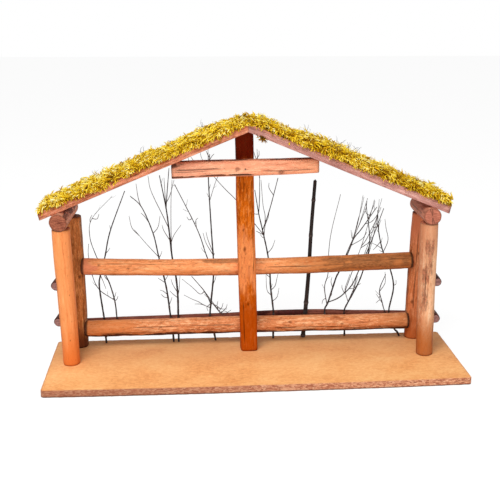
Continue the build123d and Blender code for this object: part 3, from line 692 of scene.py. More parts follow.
def chipboard():
    """Smooth sanded top with faint chips and painted shade towards the back; broken, flaky edges, with
    painted shade towards the left and along the bottom.
    """
    s = Shader("chipboard", 0.6, 0.2)
    spot = s.field("grain", "Vector")
    place = s.node("SeparateXYZ", {"Vector": spot}).outputs
    fine = s.noise(spot, (1.1, 1.1, 1.1), 4.0, 0.7)
    clouds = s.noise(spot, (0.02, 0.03, 0.03), 4.0)
    tone = s.total((s.chips(spot, (0.30, 0.55, 0.55), 0), 0.16), (fine, 0.4), (clouds, 0.5))
    top = s.ramp(tone, (0.36, (228, 150, 86)), (0.52, (247, 178, 111)), (0.68, (255, 198, 132)))
    dust = s.between(s.noise(spot, (0.8, 0.8, 0.8), 2.0), 0.68, 0.76)
    top = s.cover(top, dust, 0.35, (170, 100, 55))
    # Painted shade: the top duller and darker towards the back, under the roof.
    top = s.cover(top, s.between(place["Y"], -40.0, 40.0), 0.45, (198, 144, 100))
    crumbs = s.noise(spot, (0.5, 0.5, 1.1), 5.0, 0.75)
    side_tone = s.total((s.chips(spot, (0.30, 0.30, 0.95), 1), 0.36), (crumbs, 0.72))
    side = s.ramp(side_tone, (0.22, (120, 62, 42)), (0.45, (182, 110, 78)), (0.62, (218, 152, 114)),
                  (0.82, (246, 198, 158)))
    # Painted shade: the edge darker towards the left.
    side = s.cover(side, s.between(place["X"], 180.0, -200.0), 0.6, (140, 82, 58))
    # Painted shade: the edge darker along the bottom, by the floor.
    side = s.mix(s.between(s.field("depth"), 0.72, 0.98), side, (70, 38, 26))
    edge = s.field("edge")
    height = s.mix(edge, s.times(fine, 0.25), side_tone)
    return s.finish(s.mix(edge, top, side), s.raised(0.5, fine, 0.25), height, 0.5)


def moss_green():
    """Dry moss: dark at the roots, yellow-green at the tips, each sprig a little different."""
    s = Shader("dry_moss", 0.8, 0.08)
    tone = s.total((s.field("tip"), 0.34), (s.field("tint"), 0.72))
    colour = s.ramp(tone, (0.02, (60, 40, 4)), (0.24, (148, 96, 2)), (0.44, (212, 166, 10)),
                    (0.64, (252, 222, 64)), (0.90, (255, 248, 180)))
    return s.finish(colour)


def moss_mat():
    """The felted bed that the sprigs grow from."""
    s = Shader("moss_bed", 0.85, 0.1)
    clumps = s.noise(s.field("grain", "Vector"), (0.5, 0.5, 0.5), 6.0, 0.75)
    colour = s.ramp(clumps, (0.38, (84, 52, 2)), (0.52, (164, 114, 6)), (0.66, (232, 188, 28)))
    return s.finish(colour, None, clumps, 2.4)


def twig_bark():
    """Thin dark bark with paler nodes and a little grey bloom."""
    s = Shader("twig_bark", 0.7, 0.2)
    lines = s.noise(s.field("grain", "Vector"), (1.4, 1.4, 0.22), 5.0, 0.7)
    tone = s.total((lines, 0.7), (s.field("tone"), 0.5))
    colour = s.ramp(tone, (0.3, (20, 15, 14)), (0.55, (48, 38, 35)), (0.8, (104, 92, 90)))
    return s.finish(colour, s.raised(0.5, lines, 0.4), lines, 0.25)


def nail_steel():
    """Dull brown-grey brads."""
    s = Shader("nail_steel", 0.6, 0.3)
    s.surface.inputs["Metallic"].default_value = 1.0
    scratches = s.noise(s.node("TexCoord", {}).outputs["Object"], (900, 900, 3000), 4.0, 0.7)
    colour = s.ramp(scratches, (0.35, (70, 56, 48)), (0.65, (116, 98, 88)))
    return s.finish(colour, s.raised(0.3, scratches, 0.4), scratches, 0.03)


warm_post = branch_wood(
    "warm_post", (252, 172, 112), (240, 148, 86), (214, 110, 52), (214, 132, 96), (150, 80, 58),
    flakes=0.15, stains=0.2, specks=0.5, mottle=0.15, foot=((222, 114, 44), 0.42, 0.0, 0.85))
# The rear left post's dark foot is painted shade, behind the lower rail.
brown_post = branch_wood(
    "brown_post", (230, 158, 96), (188, 110, 54), (118, 60, 16), (150, 100, 72), (96, 58, 42),
    bark=(150, 116, 92), stains=0.8, specks=0.9, flakes=0.45, mottle=0.5,
    foot=((74, 22, 2), 0.24, 0.04, 0.85))
pale_post = branch_wood(
    "pale_post", (255, 216, 178), (238, 178, 134), (184, 112, 76), (214, 132, 96), (150, 80, 58),
    bark=(158, 92, 66), bark_cover=0.75, stains=0.35, flakes=0.35, specks=0.9, mottle=0.35,
    foot=((170, 90, 24), 0.42, 0.08, 0.88), head=((200, 132, 94), 0.72, 0.92, 0.75))
red_post = branch_wood(
    "red_post", (240, 166, 116), (212, 124, 76), (156, 76, 34), (170, 100, 72), (110, 60, 44),
    stains=0.6, flakes=0.4, mottle=0.4,
    foot=((186, 94, 38), 0.3, 0.0, 0.8), head=((232, 140, 100), 0.7, 0.9, 0.75))
# The centre post's near-black head, above the collar, is partly stain and partly painted shadow of the roof.
king_post = branch_wood(
    "king_post", (240, 152, 80), (206, 100, 16), (142, 52, 0), (180, 104, 66), (110, 58, 36),
    stains=0.8, flakes=0.25, mottle=0.45, sheen=0.03, head=((92, 10, 0), 0.83, 0.875, 0.95),
    foot=((168, 66, 0), 0.32, 0.2, 0.8), band=((238, 150, 96), 0.29, 0.54, 0.55))
# Both rails get painted shade at their ends, where they meet the posts (joint).
upper_wood = branch_wood(
    "upper_rail_wood", (255, 184, 130), (240, 152, 94), (178, 92, 46), (206, 132, 104), (140, 76, 58),
    bark=(132, 84, 48), bark_cover=0.6, specks=0.9, stains=0.6, flakes=0.45, mottle=0.45, joint=0.010,
    foot=((222, 130, 96), 0.045, 0.02, 0.7), head=((176, 104, 50), 0.5, 0.78, 0.8))
# The lower rail's near-black bark is only a strip along its underside: partly bark, partly painted shade.
lower_wood = branch_wood(
    "lower_rail_wood", (248, 190, 142), (214, 132, 82), (150, 74, 36), (206, 132, 104), (140, 76, 58),
    bark=(52, 18, 6), bark_cover=0.92, specks=0.9, stains=0.6, flakes=0.5, mottle=0.6, joint=0.010,
    foot=((206, 122, 64), 0.22, 0.08, 0.75), head=((184, 116, 68), 0.86, 0.98, 0.6))
collar_wood = branch_wood(
    "collar_wood", (252, 190, 150), (240, 158, 120), (192, 108, 74), (190, 124, 92), (130, 74, 54),
    bark=(62, 20, 10), bark_cover=0.9, stains=0.45, flakes=0.5, specks=0.7, mottle=0.45,
    foot=((236, 162, 132), 0.42, 0.1, 0.45), head=((248, 164, 116), 0.72, 0.95, 0.45))
left_purlin_wood = branch_wood(
    "left_purlin_wood", (232, 170, 140), (206, 140, 110), (150, 86, 60), (182, 108, 80), (104, 50, 34),
    bark=(92, 40, 26), bark_cover=0.85, stains=0.5, flakes=0.4)
right_purlin_wood = branch_wood(
    "right_purlin_wood", (226, 162, 134), (198, 128, 100), (146, 82, 60), (206, 126, 100), (150, 84, 64),
    stains=0.5, flakes=0.4)
side_wood = branch_wood(
    "side_wood", (150, 90, 72), (104, 56, 44), (58, 26, 20), (164, 122, 114), (108, 70, 66),
    bark=(66, 24, 16), bark_cover=0.92)
plank_left = branch_wood(
    "plank_left", (246, 168, 134), (224, 138, 102), (164, 84, 50), (214, 136, 104), (150, 84, 60),
    bark=(168, 84, 34), bark_cover=0.9, stains=0.9, flakes=0.45, mottle=0.6)
plank_right = branch_wood(
    "plank_right", (222, 170, 158), (192, 134, 122), (146, 90, 80), (206, 146, 130), (146, 90, 78),
    bark=(196, 126, 96), bark_cover=0.6, stains=0.6, flakes=0.4, mottle=0.45)
bark_stick = branch_wood(
    "bark_stick", (150, 90, 70), (118, 64, 50), (64, 28, 22), (120, 84, 72), (70, 44, 38),
    bark=(58, 18, 20), bark_cover=0.85)
moss_leaf = moss_green()
moss_bed = moss_mat()
twig_skin = twig_bark()
steel = nail_steel()


# Frame of branches

def post_axis(node, lean):
    """Foot and head of a corner post from its box; lean is the side the head goes to."""
    low, high = box(node)
    middle = (low[1] + high[1]) / 2
    foot_side, head_side = (high, low) if lean < 0 else (low, high)
    foot_x = foot_side[0] + lean * (post_radius - post_head_swell)
    head_x = head_side[0] - lean * (post_radius + post_head_swell)
    return np.array((foot_x, middle, low[2])), np.array((head_x, middle, high[2]))


def crossing_axis(node, radius, rise):
    """Axis of a front-to-back log, whose front end is its low X end; rise is its slope with X."""
    low, high = box(node)
    front_x, rear_x = low[0] + radius, high[0] - radius
    climb = (rear_x - front_x) * rise
    base = low[2] + radius + max(0.0, -climb)
    return np.array((front_x, low[1], base)), np.array((rear_x, high[1], base + climb))


left_purlin_axis = crossing_axis("left_purlin", purlin_radius, roof_slope)
right_purlin_axis = crossing_axis("right_purlin", purlin_radius, -roof_slope)


def under_purlin(axis):
    """Lets a post's head down into a saddle under its purlin."""
    start, end = axis
    way = (end - start) / np.linalg.norm(end - start)

    def trim(points):
        reach = points - start
        away = reach - np.outer(reach @ way, way)
        level = np.clip(purlin_radius ** 2 - away[:, 0] ** 2, 0, None) ** 0.5
        saddle = (points - away)[:, 2] - level
        inside = (abs(away[:, 0]) < purlin_radius) & (points[:, 2] > saddle)
        points[inside, 2] = saddle[inside]
        return points
    return trim


def under_roof(points):
    """Planes the top of a log to the roof boards."""
    points[:, 2] = np.minimum(points[:, 2], roof_under(points[:, 0]))
    return points


def corner_post(node, lean, purlin, wood, seed, **marks):
    """One leaning post under its purlin."""
    log(node, post_axis(node, lean), round_outline(post_radius), wood, seed, worn=0.25,
        taper=-2 * post_head_swell, trim=under_purlin(purlin), **marks)


def corner_posts():
    """Four posts, each with its own wood, knots and bark."""
    corner_post("front_left_post", -1, left_purlin_axis, warm_post, 11,
                knots=((34, -80, 0.9), (92, -60, 0.8), (60, 150, 2.2)),
                cracks=((20, 120, -150, 0.35), (60, 165, 60, 0.4)))
    # The front right post's left flank is darkened with painted shade.
    corner_post("front_right_post", -1, right_purlin_axis, pale_post, 23,
                knots=((120, -85, 2.6), (40, 20, 2.0)),
                bark=((106, 156, -98, 30), (58, 118, -112, 30)), bark_left=0.64, dull=(-172, 52),
                cracks=((10, 90, -40, 0.3), (60, 160, -118, 0.3)))
    corner_post("rear_left_post", -1, left_purlin_axis, brown_post, 37,
                knots=((96, -60, 2.4), (140, -30, 1.8), (20, -40, 3.2)),
                bark=((0, 171, -8, 26),), cracks=((15, 60, -48, 0.6),))
    corner_post("rear_right_post", 1, right_purlin_axis, red_post, 41,
                knots=((52, -120, 2.6), (118, -100, 1.8)),
                bark=((30, 110, 180, 20),), cracks=((40, 150, -110, 0.4),))


def middle_post():
    """Squared post under the ridge; its head is cut to both roof slopes."""
    low, high = box("centre_post")
    middle = (low[1] + high[1]) / 2
    foot = np.array((high[0] - centre_post_half_width, middle, low[2]))
    head = np.array((low[0] + centre_post_half_width, middle, ridge_z))
    outline = squared_outline(centre_post_half_width, (high[1] - low[1]) / 2, 5.5)
    log("centre_post", (foot, head), outline, king_post, 53, lumps=0.45, worn=0.25, trim=under_roof,
        knots=((64, -90, 2.2), (160, -110, 1.6), (136, -104, 2.6)),
        cracks=((100, 230, -52, 0.4), (10, 70, -120, 0.4)))


def back_rail(node, wood, sag, seed, **marks):
    """One rail across the back, coped against the rear posts."""
    low, high = box(node)
    middle = (low[1] + high[1]) / 2
    level = high[2] - rail_radius
    left, right = np.array((low[0], middle, level)), np.array((high[0], middle, level))
    shares = np.linspace(0, 1, 9)
    path = [left + (right - left) * t - np.array((0, 0, sag * 4 * t * (1 - t))) for t in shares]
    log(node, path, round_outline(rail_radius), wood, seed, lumps=0.5, **marks)


def back_rails():
    """Both rails, with their knots, cracks and dark undersides, the dark partly bark and partly painted
    shade.
    """
    # The bark strip along each rail's underside is partly bark and partly painted shade; the darkened flank
    # there is painted shade.
    back_rail("upper_rail", upper_wood, upper_rail_sag, 61,
              knots=((22, 150, 1.6), (58, 172, 1.8), (200, 140, 1.2), (330, 160, 1.6), (378, 185, 1.4)),
              cracks=((2, 17, 246, 1.1), (20, 130, 140, 0.4), (120, 190, 200, 0.3), (230, 330, 168, 0.35),
                      (340, 415, 150, 0.4)),
              bark=((150, 205, 120, 16), (300, 420, 160, 46), (0, 420, 246, 20)), dull=(258, 34))
    back_rail("lower_rail", lower_wood, 0.0, 67,
              knots=((96, 165, 1.8), (262, 150, 2.0), (330, 170, 1.8), (380, 200, 1.4)),
              cracks=((20, 90, 200, 0.4), (60, 190, 160, 0.3), (240, 330, 190, 0.35), (330, 415, 205, 0.5)),
              bark=((-8, 433, 243, 32),), dull=(254, 44))


def twig_stick():
    """The thin bowed stick behind the twigs, less deep than high so that it stays inside the CAD's box."""
    low, high = box("twig_rail")
    stick_low, stick_high = box("thick_stick")
    end_drop, bow_drop, bow_shift, less_deep, more_high = 0.6, 1.1, 4, 0.2, 0.3
    level, back = low[2] + twig_rail_radius - end_drop, low[1] + twig_rail_radius
    over_x = (stick_low[0] + stick_high[0]) / 2 - bow_shift
    over = np.array((over_x, high[1] - twig_rail_radius, high[2] - twig_rail_radius - bow_drop))
    left, right = np.array((low[0], back, level)), np.array((high[0], back, level))
    path = [left, left * 0.5 + over * 0.5, over, right * 0.5 + over * 0.5, right]
    outline = round_outline(1.0, 32) * (twig_rail_radius - less_deep, twig_rail_radius + more_high)
    log("twig_rail", path, outline, bark_stick, 71, lumps=0.25, wander=0.3, worn=0.5,
        knots=((60, 90, 1.4), (190, 80, 1.6), (350, 100, 1.2)), bark=((236, 300, 180, 90),),
        slot="bark_stick")


def collar():
    """Hewn beam across the front of the middle post, under both roof slopes and thinner to the right."""
    low, high = box("collar_beam")
    taper, left_lift, right_lift = 1.2, 0.4, 1.0
    middle = low[1] + collar_radius
    left_z = roof_under(low[0]) - collar_radius + left_lift
    right_z = roof_under(high[0]) - collar_radius + right_lift + taper
    path = np.array((low[0], middle, left_z)), np.array((high[0], middle, right_z))
    half = collar_radius - taper / 2
    log("collar_beam", path, squared_outline(half, half, 4.6), collar_wood, 83,
        lumps=0.4, worn=0.3, taper=taper, trim=under_roof, knots=((77, 180, 3.4), (128, 208, 3.2)),
        # The first two bark patches, over the left end and along the top, are painted shadow of the roof.
        bark=((-8, 14, 122, 34), (0, 176, 96, 22), (-8, 96, 218, 6)),
        cracks=((2, 60, 172, 0.75), (0, 44, 188, 0.4), (104, 170, 200, 0.5)))


def purlins():
    """Logs under the eaves, from front to back."""
    outline = round_outline(purlin_radius)
    # The left purlin's dark bark patch on its upper flank is painted shadow under the roof board.
    log("left_purlin", left_purlin_axis, outline, left_purlin_wood, 91, trim=under_roof, step=1.5,
        cracks=((0, 76, 200, 0.4), (10, 70, 160, 0.3)), knots=((50, 170, 1.6),), bark=((-8, 66, 138, 26),))
    log("right_purlin", right_purlin_axis, outline, right_purlin_wood, 97, trim=under_roof, step=1.5,
        cracks=((0, 60, -20, 0.4), (8, 70, 10, 0.3)), splits=((86, 0.55), (70, 0.25)))


def side_rails():
    """Two thin rails along each side."""
    nodes = "left_upper_side_rail", "left_lower_side_rail", "right_upper_side_rail", "right_lower_side_rail"
    outline = round_outline(side_rail_radius, 48)
    for seed, node in enumerate(nodes, 101):
        log(node, crossing_axis(node, side_rail_radius, 0.0), outline, side_wood, seed, step=1.5, lumps=0.25,
            bark=((-8, 90, 90, 150),), knots=((30, 120, 1.6),))


# Roof
eave_skew = 2.0
eave_skew_run = 12


def on_slope(along, depth, above, hand):
    """Point on a roof slope: along it from the ridge, at a depth, and square above the boards' underside."""
    return np.stack([ridge_x + hand * (along * run_share + above * rise_share), depth + 0 * along,
                     ridge_z - along * rise_share + above * run_share], axis=-1)


def down_slope(points, hand):
    """Distance of points from the ridge along a slope."""
    return hand * (points[:, 0] - ridge_x) * run_share - (points[:, 2] - ridge_z) * rise_share


def mitre(hand, length):
    """Cuts a board off at the ridge and skews its end at the eave."""
    way = np.array((hand * run_share, 0, -rise_share))

    def trim(points):
        over = hand * (points[:, 0] - ridge_x) < 0
        slip = (ridge_x - points[over, 0]) / (hand * run_share)
        points[over] += slip[:, None] * way
        run = down_slope(points, hand)
        above = hand * (points[:, 0] - ridge_x) * rise_share + (points[:, 2] - ridge_z) * run_share
        skew = eave_skew * (1 - above / roof_thickness)
        skew = skew * np.clip((run - length + eave_skew_run) / eave_skew_run, 0, 1)
        return points + skew[:, None] * way
    return trim


def roof_board(hand, node, length, wood, seed, stain):
    """One rough sawn plank from the ridge to an eave."""
    half = (roof_rear - roof_front) / 2
    middle = (roof_rear + roof_front) / 2
    over_ridge = roof_thickness * 0.45
    path = [on_slope(np.array(along), middle, roof_thickness / 2, hand) for along in (-over_ridge, length)]
    log(node, path, plank_outline(half, roof_thickness / 2), wood, seed, lumps=0.22, wander=0.15,
        trim=mitre(hand, length), bark=(stain,), slot="roof_plank")


def roof_boards():
    """Two planks, mitred at the ridge, each with a strip of another colour along the top of its front face;
    on the left board it is partly stain and partly painted shadow of the moss.
    """
    roof_board(-1, "left_roof_board", left_slope_length, plank_left, 111, (0, 270, 5, 5.0))
    roof_board(1, "right_roof_board", right_slope_length, plank_right, 117, (0, 270, 174, 3.5))


# Moss
strand_radius = 0.086
golden_turn = 2.4
eave_draw_in = 0.8


def strand(rng, plump=1.0):
    """One moss strand of unit length that starts along Z and arches over towards X: a plump tapering stem
    closely set with small pointed leaves."""
    steps = np.linspace(0, 1, 5)
    tilt = rng.uniform(-0.2, 0.3) + rng.uniform(0.7, 1.7) * steps
    twist = rng.normal(0, 0.6) * steps
    heading = np.column_stack([np.sin(tilt) * np.cos(twist), np.sin(tilt) * np.sin(twist), np.cos(tilt)])
    pieces = len(steps) - 1
    line = np.vstack([np.zeros(3), np.cumsum((heading[1:] + heading[:-1]) / 2 / pieces, axis=0)])
    side = np.cross((0.0, 1.0, 0.0), heading)
    side /= np.linalg.norm(side, axis=1)[:, None]
    up = np.cross(heading, side)
    sides = 5
    turn = np.linspace(0, 2 * math.pi, sides, endpoint=False)
    radius = strand_radius * plump * np.interp(steps, (0, 0.35, 0.8, 1), (0.6, 1.0, 0.85, 0.35))
    ring = np.cos(turn)[None, :, None] * side[:, None] + np.sin(turn)[None, :, None] * up[:, None]
    points = [(line[:, None] + radius[:, None, None] * ring).reshape(-1, 3), line[-1:] + heading[-1:] * 0.05]
    tip = len(steps) * sides
    quads = list(ring_faces(len(steps), sides))
    tris = [(tip - sides + k, tip - sides + (k + 1) % sides, tip) for k in range(sides)]
    tips = list(np.repeat(steps, sides)) + [1.05]
    spin = rng.uniform(0, 2 * math.pi)
    for share in np.linspace(0.25, 0.97, 5):
        k = int(round(share * pieces))
        spin += golden_turn + rng.uniform(-0.4, 0.4)
        outward = math.cos(spin) * side[k] + math.sin(spin) * up[k]
        root = np.array([np.interp(share, steps, line[:, axis]) for axis in range(3)])
        count = len(tips)
        points.append(leaf(rng, root, heading[k], outward, plump))
        quads.append((count, count + 1, count + 2, count + 3))
        tips += [share - 0.05, share, share + 0.12, share]
    return np.vstack(points), np.array(quads), np.array(tris), np.array(tips)


def leaf(rng, root, heading, outward, plump):
    """Corners of a pointed leaf that leaves a stem outwards."""
    way = heading + outward * rng.uniform(0.35, 0.7)
    way /= np.linalg.norm(way)
    across = np.cross(way, outward)
    across /= np.linalg.norm(across)
    reach = rng.uniform(0.11, 0.15)
    middle = root + outward * 0.06 * plump + way * reach * 0.45
    wide = across * reach * 0.38 * plump
    return np.array((root, middle - wide, root + way * reach, middle + wide))


def spread_out(rng, count, length, width):
    """Places over a rectangle, one at random in each cell of a grid."""
    rows = round((count * width / length) ** 0.5)
    columns = count // rows
    row, column = (grid.ravel() for grid in np.mgrid[:rows, :columns])
    return ((column + rng.uniform(0, 1, len(column))) * length / columns,
            (row + rng.uniform(0, 1, len(row))) * width / rows)


def shorter_at_ridge(along):
    """Share of their length that strands have near the ridge."""
    return np.interp(along, (0, 22), (0.6, 1.0))


class Moss:
    """The moss of one slope. Swell and droop are pairs of a distance from the ridge and the millimetres that
    the moss is thicker, or hangs over the front, there; wisps are distances from the ridge of stray curls."""

    bed_rows, bed_columns, bed_lip = 180, 56, 0.8
    clump_count, clump_strands, clump_length = 300, 9, (7.0, 11.5)
    between_count, between_length = 900, (5.5, 9.0)
    front_tufts, rear_tufts, eave_tufts, tuft_length = (95, 8), (70, 7), (26, 8), (5.0, 7.6)
    root_count, root_length = 150, (4.0, 7.0)
    hanging_count, hanging_length, hanging_along = 26, (4.5, 7.5), 17
    curl_count, curl_length, curl_plumpness = 4, (8.0, 12.0), 0.22
    fuzz_count, fuzz_length, fuzz_plumpness = 620, (4.0, 6.5), 0.4
    lightest, darkest = 1, -0.1

    def __init__(self, hand, node, length, seed, brightness, swell, droop, wisps):
        self.hand, self.node, self.length, self.seed = hand, node, length, seed
        self.brightness, self.swell, self.droop, self.wisps = brightness, swell, droop, wisps
        self.rng = np.random.default_rng(seed)
        self.normal = np.array((hand * rise_share, 0, run_share))
        self.down = np.array((hand * run_share, 0, -rise_share))
        self.strands = [strand(self.rng) for _ in range(16)]

    def spot(self, along, depth, above):
        """Point at a height above the board's top."""
        return on_slope(along, depth, roof_thickness + above, self.hand)

    def height(self, along, depth):
        """Height of the felted bed, in clumps and thin at the edges."""
        spots = np.stack([along, depth, 0 * along], axis=-1)
        lumps = 2.6 + 1.7 * noise(spots, 17, self.seed) + 1.0 * noise(spots, 7, self.seed + 1)
        lumps = lumps + np.interp(along, *zip(*self.swell))
        rim = np.minimum(np.minimum(depth - roof_front, roof_rear - depth), self.length - along)
        return np.clip(lumps, 0.5, None) * np.clip(rim / 5 + 0.35, 0.1, 1)

    def scatter(self, parts, places, ways, bends, sizes, tints, strands=None):
        """Sets a random strand at each place, starting along its way and arching towards its bend, and draws
        in what reaches past the eave."""
        rng, strands = self.rng, strands or self.strands
        ways = ways / np.linalg.norm(ways, axis=1)[:, None]
        across = np.cross(ways, bends + rng.normal(0, 0.3, ways.shape))
        across /= np.linalg.norm(across, axis=1)[:, None]
        turn = np.stack([np.cross(across, ways), across, ways], axis=-1)
        kinds = rng.integers(0, len(strands), len(places))
        for kind, (points, quads, tris, tips) in enumerate(strands):
            here = np.flatnonzero(kinds == kind)
            if not len(here):
                continue
            placed = np.einsum("nij,kj->nki", turn[here] * sizes[here, None, None], points)
            placed = (placed + places[here, None]).reshape(-1, 3)
            past = np.clip(down_slope(placed, self.hand) - self.length - eave_draw_in, 0, None)
            placed -= np.outer(eave_draw_in * past, self.down)
            first = (np.arange(len(here)) * len(points))[:, None, None]
            parts.add(placed, (quads[None] + first).reshape(-1, 4), (tris[None] + first).reshape(-1, 3),
                      tip=np.tile(tips, len(here)), tint=np.repeat(tints[here], len(points)))

    def bed(self):
        """The felted mat that the strands grow from."""
        rows, columns, lip = self.bed_rows, self.bed_columns, self.bed_lip
        along, depth = np.meshgrid(np.linspace(-roof_thickness * roof_slope, self.length + 0.5, rows),
                                   np.linspace(roof_front - lip, roof_rear + lip, columns), indexing="ij")
        rim = np.zeros((rows, columns), bool)
        rim[:, 0] = rim[:, -1] = rim[-1] = True
        top = self.spot(along, depth, np.where(rim, -0.6, self.height(along, depth)))
        over = self.hand * (top[..., 0] - ridge_x) < 0
        top[..., 0] = np.where(over, ridge_x, top[..., 0])
        row, column = np.meshgrid(np.arange(rows - 1), np.arange(columns - 1), indexing="ij")
        first = (row * columns + column).reshape(-1, 1)
        quads = first + [0, columns, columns + 1, 1]
        parts = Parts()
        parts.add(top.reshape(-1, 3), quads[:, ::self.hand], grain=top.reshape(-1, 3))
        parts.piece(self.node + "_bed", moss_bed, (self.node,), "dry_moss")

    def sprigs(self):
        """Clumps of strands that lie over one another, each clump combed one way."""
        rng, each = self.rng, self.clump_strands
        along, depth = spread_out(rng, self.clump_count, self.length + 1, roof_rear - roof_front - 2)
        clumps, total = len(along), len(along) * each
        along, depth = np.repeat(along - 3, each), np.repeat(depth + roof_front + 1, each)
        lift = np.repeat(rng.uniform(-1.2, 1.4, clumps), each)
        combed = rng.uniform(0, 2 * math.pi, clumps)
        lie = np.outer(np.cos(combed), self.down) + np.outer(np.sin(combed), (0, 1, 0))
        lie = np.repeat(lie, each, axis=0)
        sizes = rng.uniform(*self.clump_length, total) * shorter_at_ridge(along)
        spread = rng.normal(0, 2.2, (total, 2))
        outward = np.clip(lie @ self.down, 0, 1)
        along = np.minimum(along, self.length - 4.0 - 0.7 * sizes * outward)
        above = self.height(along, depth) * 0.75 + lift
        places = self.spot(along + spread[:, 0], depth + spread[:, 1], above) - lie * sizes[:, None] * 0.3
        ways = 0.55 * self.normal + 0.8 * lie + rng.normal(0, 0.28, (total, 3))
        bends = 0.5 * lie - 0.8 * self.normal
        tints = self.brightness + 0.10 * (lift - 0.2) + np.repeat(rng.normal(0, 0.19, clumps), each)
        tints += rng.normal(0, 0.06, total)
        parts = Parts()
        self.scatter(parts, places, ways, bends, sizes, np.clip(tints, self.darkest, self.lightest))
        parts.piece(self.node + "_sprigs", moss_leaf, (), "dry_moss")

    def fringe(self):
        """Strands between and over the clumps and round the edges, as one piece."""
        parts = Parts()
        self.between_clumps(parts)
        self.front_edge(parts)
        self.rear_edge(parts)
        self.eave(parts)
        self.roots(parts)
        if self.hand > 0:
            self.hanging(parts)
        self.stray(parts)
        self.fuzz(parts)
        parts.piece(self.node + "_fringe", moss_leaf, (), "dry_moss")

    def between_clumps(self, parts):
        """Darker strands low between the clumps."""
        rng = self.rng
        along, depth = spread_out(rng, self.between_count, self.length + 1, roof_rear - roof_front)
        along, depth, count = np.minimum(along - 2, self.length - 6), depth + roof_front, len(along)
        places = self.spot(along, depth, self.height(along, depth) * 0.6)
        self.scatter(parts, places, 0.35 * self.normal + rng.normal(0, 0.6, (count, 3)),
                     -1.0 * self.normal + np.zeros((count, 3)), rng.uniform(*self.between_length, count),
                     rng.normal(self.brightness - 0.13, 0.11, count))

    def tufts(self, parts, count, each, places, forward):
        """Strands in tufts along an edge, leaning out over it and hanging down."""
        rng, total = self.rng, count * each
        ways = 0.3 * self.normal + 0.6 * forward + rng.normal(0, 0.45, (total, 3))
        bends = 0.4 * forward + np.array((0, 0, -1.0))
        tints = np.repeat(rng.normal(self.brightness - 0.06, 0.14, count), each)
        tints = np.clip(tints + rng.normal(0, 0.08, total), self.darkest, self.lightest)
        self.scatter(parts, places, ways, bends, rng.uniform(*self.tuft_length, total), tints)

    def front_edge(self, parts):
        """Tufts over the front, hanging as far as droop says."""
        rng, (count, each) = self.rng, self.front_tufts
        total = count * each
        start = np.sort(rng.uniform(-2, self.length - 5, count))
        sink = np.interp(start, *zip(*self.droop)) * rng.uniform(0.2, 1.4, count)
        along = np.repeat(start, each) + rng.normal(0, 1.8, total)
        places = self.spot(along, roof_front + rng.uniform(-0.6, 1.6, total),
                           1.6 - np.repeat(sink, each) * rng.uniform(0.1, 1, total))
        self.tufts(parts, count, each, places, np.array((0, -1.0, 0)))

    def rear_edge(self, parts):
        """Tufts over the back."""
        rng, (count, each) = self.rng, self.rear_tufts
        total = count * each
        along = np.repeat(rng.uniform(-2, self.length - 4, count), each) + rng.normal(0, 1.8, total)
        places = self.spot(along, roof_rear + rng.uniform(-2.0, 0.4, total), rng.uniform(-1.2, 2.0, total))
        self.tufts(parts, count, each, places, np.array((0, 1.0, 0)))

    def eave(self, parts):
        """Tufts over the eave."""
        rng, (count, each) = self.rng, self.eave_tufts
        total = count * each
        depth = np.repeat(rng.uniform(roof_front, roof_rear, count), each) + rng.normal(0, 1.5, total)
        places = self.spot(self.length - rng.uniform(4.6, 7.6, total), depth, rng.uniform(-0.8, 2.0, total))
        self.tufts(parts, count, each, places, self.down)

    def roots(self, parts):
        """Dark strands that lie along the board's front face, partly moss and partly painted shade under the
        moss's edge.
        """
        rng, count = self.rng, self.root_count
        along = rng.uniform(4, self.length - 3, count)
        hangs = np.interp(along, *zip(*self.droop))
        above = 0.3 - rng.uniform(0, 1, count) * (0.8 + 0.6 * hangs)
        places = self.spot(along, roof_front - 0.2 + 0 * along, above)
        ways = np.outer(rng.choice((-1.0, 1.0), count), self.down) + rng.normal(0, 0.25, (count, 3))
        bends = np.zeros((count, 3)) - self.normal + (0, 0.3, 0)
        self.scatter(parts, places, ways, bends, rng.uniform(*self.root_length, count),
                     rng.normal(0.08, 0.12, count))

    def hanging(self, parts):
        """A dark tuft that hangs below the front of the board by the ridge."""
        rng, count = self.rng, self.hanging_count
        along = rng.normal(self.hanging_along, 2.5, count)
        places = self.spot(along, roof_front + rng.uniform(-0.8, 0.6, count), rng.uniform(-10.0, -7.0, count))
        ways = np.column_stack([rng.normal(0, 0.5, count), rng.uniform(-0.5, 0, count), -np.ones(count)])
        self.scatter(parts, places, ways, rng.normal(0, 1, (count, 3)),
                     rng.uniform(*self.hanging_length, count), rng.uniform(-0.2, 0.15, count))

    def stray(self, parts):
        """Thin dark curls that stand up out of the moss."""
        rng, count = self.rng, self.curl_count
        wiry = [strand(rng, self.curl_plumpness) for _ in range(6)]
        for place in self.wisps:
            along, depth = place + rng.normal(0, 2.0, count), roof_rear - rng.uniform(2, 12, count)
            places = self.spot(along, depth, self.height(along, depth) + 1.0)
            ways = self.normal + rng.normal(0, 0.35, (count, 3))
            self.scatter(parts, places, ways, rng.normal(0, 1, (count, 3)),
                         rng.uniform(*self.curl_length, count), rng.uniform(-0.55, -0.35, count), wiry)

    def fuzz(self, parts):
        """Thin pale strands that stand just proud of the clumps."""
        rng = self.rng
        along, depth = spread_out(rng, self.fuzz_count, self.length - 4, roof_rear - roof_front - 1)
        count, depth = len(along), depth + roof_front + 0.5
        thin = [strand(rng, self.fuzz_plumpness) for _ in range(8)]
        places = self.spot(along, depth, self.height(along, depth) + 0.6)
        ways = self.normal + rng.normal(0, 0.5, (count, 3))
        sizes = rng.uniform(*self.fuzz_length, count) * shorter_at_ridge(along)
        self.scatter(parts, places, ways, rng.normal(0, 1, (count, 3)), sizes,
                     rng.normal(self.brightness + 0.02, 0.16, count), thin)


